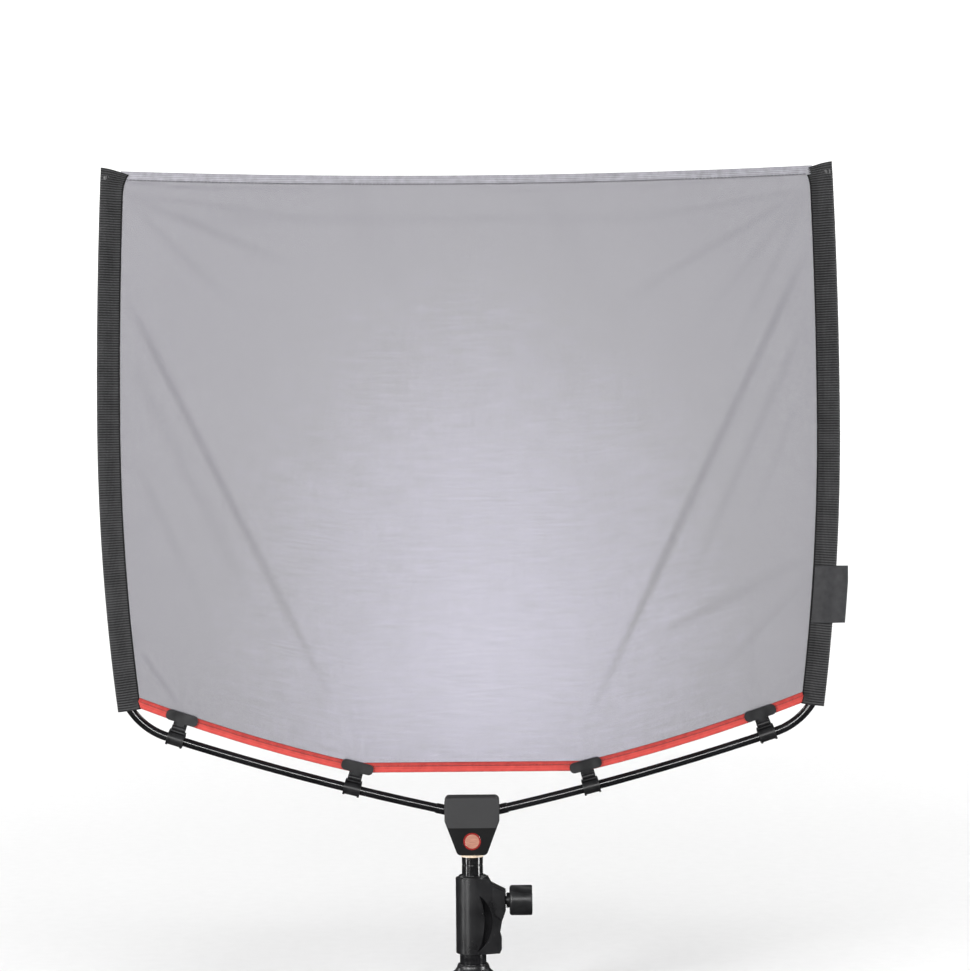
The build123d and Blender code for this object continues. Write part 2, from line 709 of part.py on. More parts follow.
with BuildPart() as hub_badge_rim:
    with BuildSketch(badge_plane.offset(-0.8)):
        Circle(badge_diameter / 2 + 0.9)
        Circle(badge_diameter / 2 - 0.6, mode=Mode.SUBTRACT)
    extrude(amount=1.2)
    chamfer(hub_badge_rim.edges().group_by(Axis.Y)[0], 0.25)
keep(hub_badge_rim, "hub_badge_rim")

with BuildPart() as hub_badge_disc:
    with BuildSketch(badge_plane.offset(-0.8)):
        Circle(badge_diameter / 2 - 0.6)
    extrude(amount=1.0)
keep(hub_badge_disc, "hub_badge_disc")

with BuildPart() as hub_stud_socket:
    with BuildSketch(Plane.XY.offset(hub_foot)):
        Circle(socket_radius)
    extrude(amount=socket_top - hub_foot)
    with BuildSketch(Plane.XY.offset(hub_foot)):
        Circle(socket_bore)
    extrude(amount=stud_top + 0.5 - hub_foot, mode=Mode.SUBTRACT)
    with BuildSketch(lock_plane):
        Circle(lock_pad_radius + running_gap)
    extrude(amount=hub_depth, mode=Mode.SUBTRACT)
keep(hub_stud_socket, "hub_stud_socket")

with BuildPart() as hub_lock_insert:
    with BuildSketch(lock_plane.offset(socket_radius)):
        Circle(lock_insert_radius)
    extrude(amount=lock_boss_end - socket_radius)
    with BuildSketch(lock_plane):
        Circle(lock_screw_diameter / 2 + running_gap)
    extrude(amount=2 * hub_depth, mode=Mode.SUBTRACT)
    with BuildSketch(lock_plane):
        Circle(lock_pad_radius + running_gap)
    extrude(amount=lock_insert_start, mode=Mode.SUBTRACT)
    with Locations((0, 0, lock_level)):
        Cylinder(socket_radius, 4 * lock_insert_radius, mode=Mode.SUBTRACT)
keep(hub_lock_insert, "hub_lock_insert")

with BuildPart() as hub_lock_pad:
    with BuildSketch(lock_plane.offset(lock_pad_start - 1.5)):
        Circle(lock_pad_radius)
    extrude(amount=lock_pad_end - lock_pad_start + 1.5)
    with Locations((0, 0, lock_level)):
        Cylinder(lock_pad_start, 3 * lock_pad_radius, mode=Mode.SUBTRACT)
    with BuildSketch(lock_plane.offset(lock_pad_end - 1.8)):
        Circle(lock_screw_diameter / 4)
    extrude(amount=3, mode=Mode.SUBTRACT)
keep(hub_lock_pad, "hub_lock_pad")

lock_knob_start = lock_boss_end + 0.6
lock_knob_end = lock_knob_start + lock_knob_length
with BuildPart() as hub_lock_screw:
    with BuildSketch(lock_plane.offset(lock_pad_end - 1.7)):
        Circle(lock_screw_diameter / 4 - running_gap)
    extrude(amount=2.0)
    with BuildSketch(lock_plane.offset(lock_pad_end + 0.05)):
        Circle(lock_screw_diameter / 2)
    extrude(amount=lock_knob_end - 3.0 - lock_pad_end)
keep(hub_lock_screw, "hub_lock_screw")

with BuildPart() as hub_lock_knob:
    with BuildSketch(lock_plane.offset(lock_knob_start)):
        Circle(lock_knob_neck_radius)
    extrude(amount=lock_knob_neck + 0.5)
    with BuildSketch(lock_plane.offset(lock_knob_start + lock_knob_neck)) as lock_lobes:
        Circle(lock_knob_radius)
        with PolarLocations(lock_knob_radius + 0.4, 6):
            Circle(lock_knob_flute_radius, mode=Mode.SUBTRACT)
        fillet(lock_lobes.vertices(), 0.8)
    extrude(amount=lock_knob_length - lock_knob_neck)
    chamfer(hub_lock_knob.faces().sort_by(Axis.Y)[-1].edges(), 0.6)
    with BuildSketch(lock_plane.offset(lock_knob_start)):
        Circle(lock_screw_diameter / 2)
    extrude(amount=lock_knob_end - 2.95 - lock_knob_start, mode=Mode.SUBTRACT)
keep(hub_lock_knob, "hub_lock_knob")

with BuildPart() as rod_socket:
    with BuildSketch(rod_axis_plane.offset(socket_inner)):
        Circle(rod_socket_radius)
        Circle(rod_socket_bore, mode=Mode.SUBTRACT)
    extrude(amount=hub_width)
    with Locations((half_hub_width + hub_width, 0, crossing_level)):
        Box(2 * hub_width, hub_width, hub_width, mode=Mode.SUBTRACT)
keep(rod_socket, "right_rod_socket")
keep_mirrored(rod_socket.part, "left_rod_socket")

# ==== rods ====
rod_tube = ring_along(lower_rod_path(), rod_radius, rod_radius - rod_wall)
with BuildPart() as right_lower_rod:
    add(rod_tube)
keep(right_lower_rod, "right_lower_rod")
keep_mirrored(right_lower_rod.part, "left_lower_rod")

with BuildPart() as rod_ferrule:
    with BuildLine(Plane.XZ) as ferrule_path:
        Line(rod_start, bow_start)
    add(ring_along(ferrule_path.wires()[0], ferrule_radius, rod_radius))
    chamfer(rod_ferrule.edges().sort_by(Axis.X)[-1:], 0.3)
keep(rod_ferrule, "right_rod_ferrule")
keep_mirrored(rod_ferrule.part, "left_rod_ferrule")

spigot_radius = rod_radius - rod_wall
with BuildPart() as rod_spigot:
    add(ring_along(side_path(joint_level - spigot_length / 2, joint_level + spigot_length / 2,
                             rod_inset), spigot_radius))
keep(rod_spigot, "right_rod_spigot")
keep_mirrored(rod_spigot.part, "left_rod_spigot")

tip_foot = rod_top - rod_tip_length
with BuildPart() as side_rod:
    add(ring_along(side_path(joint_level, tip_foot, rod_inset), rod_radius, spigot_radius))
keep(side_rod, "right_side_rod")
keep_mirrored(side_rod.part, "left_side_rod")

with BuildPart() as rod_tip:
    add(ring_along(side_path(tip_foot, rod_top, rod_inset), rod_radius))
    add(ring_along(side_path(tip_foot - rod_tip_plug, tip_foot, rod_inset), spigot_radius))
keep(rod_tip, "right_rod_tip")
keep_mirrored(rod_tip.part, "left_rod_tip")

# ==== sleeves ====
sleeve_path = side_path(sleeve_foot, sleeve_top, sleeve_width / 2)
with BuildPart() as sleeve_solid:
    with BuildSketch(Plane(sleeve_path @ 0, x_dir=(0, 1, 0), z_dir=sleeve_path % 0)):
        SlotOverall(sleeve_width, sleeve_depth, rotation=90)
    sweep(path=sleeve_path)

with BuildPart() as sleeve:
    add(sleeve_solid.part)
    add(ring_along(lower_rod_path(), rod_radius + running_gap), mode=Mode.SUBTRACT)
    add(ring_along(side_path(joint_level, rod_top, rod_inset), rod_radius + running_gap),
        mode=Mode.SUBTRACT)
keep(sleeve, "right_sleeve")
keep_mirrored(sleeve.part, "left_sleeve")

# ==== net ====
beyond = flag_half_width + 5
hem_top = sleeve_top - hem_below_sleeve
inner_clip, inner_angle = bow_point(clip_spacings["inner"])
outer_clip, outer_angle = bow_point(clip_spacings["outer"])


def jaw_centre(clip, angle):
    """Middle of a clip's jaws, square to the rod that the clip sits on."""
    return (clip[0] - clip_reach * sin(angle), clip[1] + clip_reach * cos(angle))


binding_inner = jaw_centre(inner_clip, inner_angle)
binding_middle = jaw_centre(outer_clip, outer_angle)
binding_end = (flag_half_width - sleeve_width + binding_end_tuck,
               sleeve_foot + binding_end_over_foot)


def lifted(point, amount):
    """A point of the outline moved straight up."""
    return (point[0], point[1] + amount)


def across(point):
    """A point of the outline on the other side of the column."""
    return (-point[0], point[1])


def bottom_edge(amount):
    """Lower edge of the net, lifted: flat between the inner clips and rising to the sleeves."""
    inner, middle, end = (lifted(point, amount)
                          for point in (binding_inner, binding_middle, binding_end))
    ThreePointArc(across(end), across(middle), across(inner))
    Line(across(inner), inner)
    ThreePointArc(inner, middle, end)
    return end


def top_edge(amount):
    """Upper edge of the net, lifted, which dips between the sleeves."""
    high = (beyond, hem_top + amount)
    ThreePointArc(high, (0, hem_top - hem_sag + amount), across(high))
    return high


def flat_piece(low_edge, low, high_edge, high, thickness):
    """Flat cloth piece between two edges, cut back to the sleeves' faces."""
    with BuildPart() as cloth:
        with BuildSketch(Plane.XZ):
            with BuildLine():
                low_end = low_edge(low)
                high_end = high_edge(high)
                Line(low_end, high_end)
                Line(across(low_end), across(high_end))
            make_face()
        extrude(amount=thickness / 2, both=True)
        add(sleeve_solid.part, mode=Mode.SUBTRACT)
        mirror(sleeve_solid.part, about=Plane.YZ, mode=Mode.SUBTRACT)
    return cloth.part.solids().sort_by(SortBy.VOLUME)[-1]


half_binding = binding_height / 2
for cloth_name, cloth_part in (
    ("net_panel", flat_piece(bottom_edge, half_binding, top_edge, -hem_height, net_thickness)),
    ("top_hem", flat_piece(top_edge, -hem_height, top_edge, 0, hem_thickness)),
    ("bottom_binding",
     flat_piece(bottom_edge, -half_binding, bottom_edge, half_binding, binding_thickness)),
):
    with BuildPart() as cloth_piece:
        add(cloth_part)
    keep(cloth_piece, cloth_name)

label_middle = crossing_level + label_level
label_edge = side_point(label_middle, 0)[0]
label_start = label_edge + label_overhang - label_width
half_label_depth = sleeve_depth / 2 + label_thickness
with BuildPart() as side_label:
    with BuildSketch(Plane.XY.offset(label_middle - label_height / 2)):
        with BuildLine():
            Polyline((label_start, -half_label_depth), (label_edge - 1, -half_label_depth),
                     (label_edge + label_overhang, -label_thickness),
                     (label_edge + label_overhang, label_thickness),
                     (label_edge - 1, half_label_depth), (label_start, half_label_depth),
                     (label_start, -half_label_depth))
        make_face()
    extrude(amount=label_height)
    add(sleeve_solid.part, mode=Mode.SUBTRACT)
    label_gap = flag_half_width - sleeve_width
    with Locations((label_gap / 2, 0, label_middle)):
        Box(label_gap, 2 * net_thickness + 0.4, label_height, mode=Mode.SUBTRACT)
keep(side_label, "side_label")

# ==== hem clips, built square to their rod at the origin: X along the rod, Z up to the hem ====
hook_bore = rod_radius + running_gap
hook_radius = hook_bore + clip_hook_wall
jaw_foot = clip_reach - jaw_height / 2
jaw_face = binding_thickness / 2 + 0.05
lug_radius = clip_pin_diameter / 2 + 1.2
knuckle_half = neck_width / 2 - 2.4
pin_plane = Plane(origin=(-neck_width / 2, -clip_pin_front, clip_pin_height), z_dir=(1, 0, 0))
neck_front = -0.8
neck_back = jaw_face + jaw_thickness


def jaw_bar(side):
    """Outline of the bar that holds one face of the hem: side -1 is the front one."""
    with BuildSketch(Plane.XZ.offset(-side * jaw_face)) as bar:
        with Locations((0, clip_reach)):
            RectangleRounded(jaw_length, jaw_height, jaw_height / 2 - 0.6)
    return bar.sketch


def knuckle(start):
    """Outline of a round eye about the clip's pin, at a distance along the pin."""
    with BuildSketch(pin_plane.offset(start)) as eye:
        Circle(lug_radius)
    return eye.sketch


with BuildPart() as clip_body:
    hook_end = Plane(origin=(-clip_hook_length / 2, 0, 0), z_dir=(1, 0, 0))
    with BuildSketch(hook_end):
        Circle(hook_radius)
    extrude(amount=clip_hook_length)
    for rib_start in (0, clip_hook_length - clip_rib_length):
        with BuildSketch(hook_end.offset(rib_start)):
            Circle(hook_radius + clip_rib_height)
        extrude(amount=clip_rib_length)
    neck_top = clip_reach - half_binding - 0.8
    with Locations((0, (neck_front + neck_back) / 2, neck_top / 2)):
        Box(neck_width, neck_back - neck_front, neck_top)
    flange_top = clip_pin_height - lug_radius - 0.35
    with Locations((0, (neck_back - clip_pin_front) / 2, flange_top - clip_flange / 2)):
        Box(neck_width + 2 * clip_flange, neck_back + clip_pin_front + clip_flange, clip_flange)
    with Locations((0, (jaw_face + neck_back) / 2, clip_reach / 2)):
        Box(neck_width, jaw_thickness, clip_reach)
    extrude(jaw_bar(1), amount=-jaw_thickness)
    lug_length = neck_width / 2 - knuckle_half - running_gap
    for lug_start in (0, neck_width - lug_length):
        extrude(knuckle(lug_start), amount=lug_length)
        lug_x = lug_start + lug_length / 2 - neck_width / 2
        lug_depth = clip_pin_front + neck_front + 0.4
        with Locations((lug_x, neck_front + 0.2 - lug_depth / 2, clip_pin_height)):
            Box(lug_length, lug_depth, 2 * lug_radius)
    with BuildSketch(hook_end.offset(-1)):
        Circle(hook_bore)
    extrude(amount=clip_hook_length + 2, mode=Mode.SUBTRACT)
    with Locations((0, 0, -hook_radius)):
        Box(clip_hook_length + 2, clip_mouth, 2 * hook_radius - 1, mode=Mode.SUBTRACT)
    with BuildSketch(pin_plane.offset(-1)):
        Circle(clip_pin_diameter / 2)
    extrude(amount=neck_width + 2, mode=Mode.SUBTRACT)

with BuildPart() as clip_jaw:
    extrude(jaw_bar(-1), amount=jaw_thickness)
    extrude(knuckle(neck_width / 2 - knuckle_half), amount=2 * knuckle_half)
    arm_height = clip_reach - clip_pin_height
    with Locations((0, -jaw_face - jaw_thickness / 2, clip_pin_height + arm_height / 2)):
        Box(2 * knuckle_half, jaw_thickness, arm_height)
    with BuildSketch(pin_plane.offset(-1)):
        Circle(clip_pin_diameter / 2 + running_gap)
    extrude(amount=neck_width + 2, mode=Mode.SUBTRACT)

with BuildPart() as clip_pin:
    with BuildSketch(pin_plane):
        Circle(clip_pin_diameter / 2)
    extrude(amount=neck_width)

for spacing_name, spacing in clip_spacings.items():
    clip_place, clip_angle = bow_point(spacing)
    for hand, hand_name in ((1, "right"), (-1, "left")):
        place = Location((hand * clip_place[0], 0, clip_place[1]),
                         (0, -hand * degrees(clip_angle), 0))
        for piece, piece_name in ((clip_body, "clip_body"), (clip_jaw, "clip_jaw"),
                                  (clip_pin, "clip_pin")):
            with BuildPart() as placed:
                add(piece.part.moved(place))
            keep(placed, f"{hand_name}_{spacing_name}_{piece_name}")
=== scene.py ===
import bmesh
import bpy
import numpy as np
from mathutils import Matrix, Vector


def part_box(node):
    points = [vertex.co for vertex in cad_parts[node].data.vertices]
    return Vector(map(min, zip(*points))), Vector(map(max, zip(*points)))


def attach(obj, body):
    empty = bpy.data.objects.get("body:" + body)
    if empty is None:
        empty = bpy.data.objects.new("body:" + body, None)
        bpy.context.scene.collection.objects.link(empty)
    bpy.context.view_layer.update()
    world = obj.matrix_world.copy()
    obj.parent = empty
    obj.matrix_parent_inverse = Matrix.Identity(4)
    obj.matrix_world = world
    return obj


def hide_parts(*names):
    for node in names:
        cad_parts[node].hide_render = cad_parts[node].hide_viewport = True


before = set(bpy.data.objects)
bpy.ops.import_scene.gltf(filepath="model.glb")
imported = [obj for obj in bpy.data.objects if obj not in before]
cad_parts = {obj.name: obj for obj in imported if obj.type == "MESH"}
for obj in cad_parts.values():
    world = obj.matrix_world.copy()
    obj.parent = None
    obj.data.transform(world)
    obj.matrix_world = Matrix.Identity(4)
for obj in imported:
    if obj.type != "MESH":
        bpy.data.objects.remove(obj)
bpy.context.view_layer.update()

scene = bpy.context.scene
mm = 0.001


# ---- camera and studio -----------------------------------------------------------------------
# The flag is seen square on, from the level of its middle, so the clamp shows a little of its
# top.  A pale paper sweep and large soft lights stand round it.
hub_over_rods = 12.4 * mm
crossing_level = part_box("hub_front_shell")[1].z - hub_over_rods
view_distance = 2.5
view_width = 0.9215
view_lean = np.radians(0.5)
view_right, view_rise = 15.1 * mm, 307 * mm
view_aim = Vector((view_right, 0, crossing_level + view_rise))
film_width = 36

camera_data = bpy.data.cameras.new("camera")
camera_data.sensor_width = film_width
camera_data.lens = film_width * view_distance / view_width
camera = bpy.data.objects.new("camera", camera_data)
camera.location = view_aim - Vector((0, view_distance, 0))
camera.rotation_euler = (np.radians(90), view_lean, 0)
scene.collection.objects.link(camera)
scene.camera = camera
scene.view_settings.view_transform = "Standard"


def node_material(name, color, roughness, metallic=0.0):
    """New material with one shader of constant gloss, and its node tree."""
    material = bpy.data.materials.new(name)
    material.use_nodes = True
    tree = material.node_tree
    shader = tree.nodes["Principled BSDF"]
    shader.inputs["Base Color"].default_value = (*color, 1)
    shader.inputs["Roughness"].default_value = roughness
    shader.inputs["Metallic"].default_value = metallic
    return material, tree, shader


def coordinate(tree, kind="Object", scale=(1, 1, 1), shift=(0, 0, 0)):
    """Object or UV coordinates in metres, stretched and shifted along each axis."""
    source = tree.nodes.new("ShaderNodeTexCoord")
    mapping = tree.nodes.new("ShaderNodeMapping")
    mapping.inputs["Scale"].default_value = scale
    mapping.inputs["Location"].default_value = shift
    tree.links.new(source.outputs[kind], mapping.inputs["Vector"])
    return mapping.outputs["Vector"]


def noise(tree, vector, scale, detail=3.0):
    """Noise at so many grains a metre."""
    node = tree.nodes.new("ShaderNodeTexNoise")
    node.inputs["Scale"].default_value = scale
    node.inputs["Detail"].default_value = detail
    tree.links.new(vector, node.inputs["Vector"])
    return node.outputs["Fac"]


def blend_colors(tree, value, low_color, high_color, start=0.3, stop=0.7):
    """Colour that goes from one to another as a value rises."""
    node = tree.nodes.new("ShaderNodeValToRGB")
    node.color_ramp.elements[0].position = start
    node.color_ramp.elements[0].color = (*low_color, 1)
    node.color_ramp.elements[1].position = stop
    node.color_ramp.elements[1].color = (*high_color, 1)
    tree.links.new(value, node.inputs["Fac"])
    return node.outputs["Color"]


def surface(name, points, uv_size, wrap_rows=False, wrap_cols=False):
    """Mesh of a grid of points, rows by columns, with its UV map in metres.

    A corner's UV is its column's share of the width and its row's share of the height.
    """
    rows, cols = points.shape[:2]
    row_count = rows if wrap_rows else rows - 1
    col_count = cols if wrap_cols else cols - 1
    row, col = np.meshgrid(np.arange(row_count), np.arange(col_count), indexing="ij")
    corner_rows = np.stack([row, row, row + 1, row + 1], -1).reshape(-1, 4)
    corner_cols = np.stack([col, col + 1, col + 1, col], -1).reshape(-1, 4)
    faces = (corner_rows % rows) * cols + corner_cols % cols
    mesh = bpy.data.meshes.new(name)
    mesh.from_pydata(points.reshape(-1, 3).tolist(), [], faces.tolist())
    uv = np.stack([corner_cols / col_count * uv_size[0], corner_rows / row_count * uv_size[1]], -1)
    layer = mesh.uv_layers.new(name="weave")
    layer.data.foreach_set("uv", uv.reshape(-1).astype(np.float32))
    mesh.polygons.foreach_set("use_smooth", np.ones(len(faces), bool))
    made = bpy.data.objects.new(name, mesh)
    scene.collection.objects.link(made)
    return made


def studio_light(name, place, size, power, aim=(0, 0, 0.45)):
    """Large square soft light that looks at the flag's middle, or at the sweep."""
    data = bpy.data.lights.new(name, "AREA")
    data.shape = "RECTANGLE"
    data.size, data.size_y = size
    data.energy = power
    light = bpy.data.objects.new(name, data)
    light.location = place
    toward = Vector(aim) - Vector(place)
    light.rotation_euler = toward.to_track_quat("-Z", "Y").to_euler()
    scene.collection.objects.link(light)
    return light


studio_light("key_light", (-1.8, -2.4, 0.8), (0.9, 1.8), 78)
studio_light("right_strip", (2.3, -0.55, 0.6), (0.5, 1.7), 52)
studio_light("left_strip", (-2.3, -0.9, 0.6), (0.45, 1.7), 26)
studio_light("front_strip", (0, -3.1, 1.1), (1.8, 0.3), 40)
high_light = studio_light("high_light", (0, -1.7, 2.9), (2.0, 1.0), 44)
high_light.visible_glossy = False
for side_name, hand in (("left", -1), ("right", 1)):
    studio_light(f"sweep_light_{side_name}", (2.4 * hand, 1.7, 1.9), (0.8, 2.4), 46,
                 aim=(0.5 * hand, 3.3, 0.6))

# the room is white behind the flag and almost dark for what the flag's finishes gather
room_seen, room_fill = 1.0, 0.04
world = bpy.data.worlds.new("studio")
world.use_nodes = True
room = world.node_tree.nodes["Background"]
room.inputs["Color"].default_value = (1, 1, 1, 1)
ray = world.node_tree.nodes.new("ShaderNodeLightPath")
room_level = world.node_tree.nodes.new("ShaderNodeMapRange")
room_level.inputs["To Min"].default_value = room_fill
room_level.inputs["To Max"].default_value = room_seen
world.node_tree.links.new(ray.outputs["Is Camera Ray"], room_level.inputs["Value"])
world.node_tree.links.new(room_level.outputs["Result"], room.inputs["Strength"])
scene.world = world

sweep_width, sweep_front, sweep_back, sweep_height = 8.0, -2.6, 2.3, 4.0
sweep_radius = 1.0
floor_level = -1 * mm
# the paper's side view: flat floor, quarter circle, upright wall
bend = np.radians(np.linspace(-90, 0, 25))
sweep_profile = np.concatenate([
    [[sweep_front, floor_level]],
    np.stack([sweep_back + sweep_radius * np.cos(bend),
              floor_level + sweep_radius * (1 + np.sin(bend))], -1),
    [[sweep_back + sweep_radius, sweep_height]],
])
sweep_points = np.zeros((len(sweep_profile), 2, 3))
sweep_points[:, 0, 0], sweep_points[:, 1, 0] = -sweep_width / 2, sweep_width / 2
sweep_points[:, :, 1:] = sweep_profile[:, None]
paper_sweep = surface("paper_sweep", sweep_points, (sweep_width, sweep_height))
paper, paper_tree, paper_shader = node_material("pale_paper", (0.86, 0.86, 0.86), 0.9)
paper_grain = noise(paper_tree, coordinate(paper_tree), 60)
paper_tree.links.new(
    blend_colors(paper_tree, paper_grain, (0.85, 0.85, 0.85), (0.87, 0.87, 0.87)),
    paper_shader.inputs["Base Color"],
)
paper_sweep.data.materials.append(paper)
paper_sweep.visible_glossy = False


# ---- clamp casting and collar ----------------------------------------------------------------
# Die cast aluminium with a semi-gloss black powder coat: a fine orange peel, a little uneven
# gloss where hands rub it, and a few grey specks.  The gloss is turned down in the finger grooves
# to paint shade into them.
def dress(material, *names):
    """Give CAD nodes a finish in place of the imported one."""
    for name in names:
        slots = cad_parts[name].data.materials
        slots.clear()
        slots.append(material)


def combine(tree, operation, first, second):
    """One maths step on two values, either of which may be a number."""
    node = tree.nodes.new("ShaderNodeMath")
    node.operation = operation
    for socket, value in zip(node.inputs, (first, second)):
        if isinstance(value, (int, float)):
            socket.default_value = value
        else:
            tree.links.new(value, socket)
    return node.outputs["Value"]


def spread(tree, value, low, high, start=0.3, stop=0.7):
    """A value carried from one range to another."""
    node = tree.nodes.new("ShaderNodeMapRange")
    for name, number in (("From Min", start), ("From Max", stop), ("To Min", low), ("To Max", high)):
        node.inputs[name].default_value = number
    tree.links.new(value, node.inputs["Value"])
    return node.outputs["Result"]


def add_bump(tree, shader, height, distance, strength=1.0):
    """Bump of a height map that is so many metres deep."""
    node = tree.nodes.new("ShaderNodeBump")
    node.inputs["Distance"].default_value = distance
    node.inputs["Strength"].default_value = strength
    tree.links.new(height, node.inputs["Height"])
    tree.links.new(node.outputs["Normal"], shader.inputs["Normal"])


cast_black, tree, shader = node_material("cast_black", (0.02, 0.02, 0.022), 0.34)
place = coordinate(tree)
mottle = noise(tree, place, 45, 4)
peel = noise(tree, place, 1400, 2)
specks = noise(tree, place, 520, 1)
coat_color = blend_colors(tree, mottle, (0.005, 0.005, 0.0055), (0.013, 0.013, 0.014))
mix = tree.nodes.new("ShaderNodeMix")
mix.data_type = "RGBA"
tree.links.new(spread(tree, specks, 0, 0.5, 0.74, 0.8), mix.inputs["Factor"])
tree.links.new(coat_color, mix.inputs["A"])
mix.inputs["B"].default_value = (0.12, 0.12, 0.12, 1)
tree.links.new(mix.outputs["Result"], shader.inputs["Base Color"])
tree.links.new(spread(tree, mottle, 0.25, 0.36), shader.inputs["Roughness"])
# the grooves lie between these places across the barrel, and this near to its middle plane
groove_start, groove_stop = (2 * mm, 4 * mm), (18.6 * mm, 19.4 * mm)
groove_wall = (9.6 * mm, 11.2 * mm)
recess = tree.nodes.new("ShaderNodeSeparateXYZ")
tree.links.new(place, recess.inputs["Vector"])
depth = combine(tree, "ABSOLUTE", recess.outputs["Y"], 0)
groove_painted_shade = combine(tree, "MULTIPLY", spread(tree, depth, 1, 0, *groove_wall),
                 combine(tree, "MULTIPLY", spread(tree, recess.outputs["X"], 0, 1, *groove_start),
                         spread(tree, recess.outputs["X"], 1, 0, *groove_stop)))
# painted shade: the specular level falls inside the grooves so that they look dark
tree.links.new(spread(tree, groove_painted_shade, 0.5, 0.06, 0, 1), shader.inputs["Specular IOR Level"])
add_bump(tree, shader, peel, 0.012 * mm, 0.5)
dress(cast_black, "clamp_barrel", "lower_collar")


# ---- stand tubes -----------------------------------------------------------------------------
# Drawn aluminium, black anodised and bright: long fine die lines down the tube and faint
# rings where the bush has rubbed.
anodised, tree, shader = node_material("anodised_tube", (0.012, 0.012, 0.013), 0.16)
shader.inputs["Specular IOR Level"].default_value = 0.8
die_lines = noise(tree, coordinate(tree, scale=(1, 1, 0.02)), 1500, 2)
rub_rings = noise(tree, coordinate(tree, scale=(0.02, 0.02, 1)), 700, 2)
tree.links.new(
    spread(tree, combine(tree, "ADD", die_lines, rub_rings), 0.09, 0.19, 0.8, 1.2),
    shader.inputs["Roughness"],
)
tree.links.new(
    blend_colors(tree, rub_rings, (0.004, 0.004, 0.0045), (0.01, 0.01, 0.011)),
    shader.inputs["Base Color"],
)
add_bump(tree, shader, die_lines, 0.004 * mm, 0.4)
dress(anodised, "riser_tube", "lower_tube")


# ---- bushes, knobs and clips -----------------------------------------------------------------
# Glass filled nylon, moulded black: a fine spark texture, satin, greyer where it is handled.
nylon, tree, shader = node_material("black_nylon", (0.02, 0.02, 0.021), 0.42)
shader.inputs["Specular IOR Level"].default_value = 0.4
place = coordinate(tree)
handling = noise(tree, place, 90, 3)
spark = noise(tree, place, 2600, 2)
tree.links.new(
    blend_colors(tree, handling, (0.006, 0.006, 0.0065), (0.015, 0.015, 0.016)),
    shader.inputs["Base Color"],
)
tree.links.new(spread(tree, handling, 0.3, 0.42), shader.inputs["Roughness"])
add_bump(tree, shader, spark, 0.01 * mm, 0.6)
clip_names = [f"{side}_{place_name}_clip" for side in ("left", "right")
              for place_name in ("inner", "outer")]
dress(nylon, "barrel_top_bush", "lower_collar_ring", "clamp_knob", "clamp_knob_cap",
      "riser_end_bush", "hub_lock_knob", "left_rod_tip", "right_rod_tip")
dress(nylon, *[name + "_body" for name in clip_names], *[name + "_jaw" for name in clip_names])


# ---- turned metal ----------------------------------------------------------------------------
# Plain steel for the stud, screws and pins, brass for the pads and threaded inserts and
# aluminium for the sockets, all with the fine rings that turning leaves.
def turned_metal(name, color, roughness):
    """Turned metal with fine rings and a little stain."""
    material, tree, shader = node_material(name, color, roughness, 1.0)
    place = coordinate(tree)
    rings = noise(tree, coordinate(tree, scale=(0.05, 0.05, 1)), 2200, 2)
    stain = noise(tree, place, 120, 3)
    dull = tuple(0.72 * part for part in color)
    tree.links.new(blend_colors(tree, stain, dull, color), shader.inputs["Base Color"])
    tree.links.new(spread(tree, rings, roughness - 0.06, roughness + 0.1),
                   shader.inputs["Roughness"])
    add_bump(tree, shader, rings, 0.02 * mm, 0.5)
    return material


steel = turned_metal("turned_steel", (0.56, 0.56, 0.57), 0.3)
brass = turned_metal("turned_brass", (0.72, 0.52, 0.22), 0.32)
bright_alloy = turned_metal("turned_alloy", (0.7, 0.7, 0.71), 0.28)
blackened = turned_metal("blackened_steel", (0.035, 0.035, 0.037), 0.32)
dress(blackened, "clamp_screw", "clamp_thread_insert", "hub_screws")
dress(steel, "riser_stud", "hub_lock_screw",
      "left_rod_spigot", "right_rod_spigot", *[name + "_pin" for name in clip_names])
dress(brass, "clamp_pad", "hub_lock_insert", "hub_lock_pad")
dress(bright_alloy, "hub_stud_socket", "left_rod_socket", "right_rod_socket")


# ---- stud washer -----------------------------------------------------------------------------
# Natural nylon disc under the hub, cream, with slight grime at the rim.
cream, tree, shader = node_material("natural_nylon", (0.72, 0.6, 0.46), 0.45)
shader.inputs["Subsurface Weight"].default_value = 0.15
shader.inputs["Subsurface Radius"].default_value = (0.002, 0.0015, 0.001)
grime = noise(tree, coordinate(tree), 350, 4)
tree.links.new(blend_colors(tree, grime, (0.55, 0.43, 0.31), (0.76, 0.65, 0.52)),
               shader.inputs["Base Color"])
dress(cream, "stud_washer")


# ---- hub casing ------------------------------------------------------------------------------
# Two moulded halves with a soft-touch grain: dark grey and matt.  The colour is painted much
# darker on the sloping lower face, as painted shade, and lighter on the upper face.
casing, tree, shader = node_material("hub_casing", (0.05, 0.05, 0.052), 0.6)
shader.inputs["Specular IOR Level"].default_value = 0.22
place = coordinate(tree)
grain = noise(tree, place, 3200, 2)
cloudy = noise(tree, place, 70, 3)
level = tree.nodes.new("ShaderNodeSeparateXYZ")
tree.links.new(place, level.inputs["Vector"])
crease_rise, crease_blur = 25.9 * mm, 0.15 * mm
crease_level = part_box("hub_front_shell")[0].z + crease_rise
# painted shade: the face below the crease is coloured far darker than the one above it
painted_lit_upper_face = spread(tree, level.outputs["Z"], 0, 1, crease_level - crease_blur,
                      crease_level + crease_blur)
tone = combine(tree, "ADD", combine(tree, "MULTIPLY", painted_lit_upper_face, 0.8),
               combine(tree, "MULTIPLY", cloudy, 0.2))
tree.links.new(blend_colors(tree, tone, (0.003, 0.003, 0.0032), (0.03, 0.03, 0.031), 0.1, 0.95),
               shader.inputs["Base Color"])
tree.links.new(spread(tree, cloudy, 0.52, 0.66), shader.inputs["Roughness"])
add_bump(tree, shader, grain, 0.03 * mm, 0.6)
dress(casing, "hub_front_shell", "hub_back_shell")

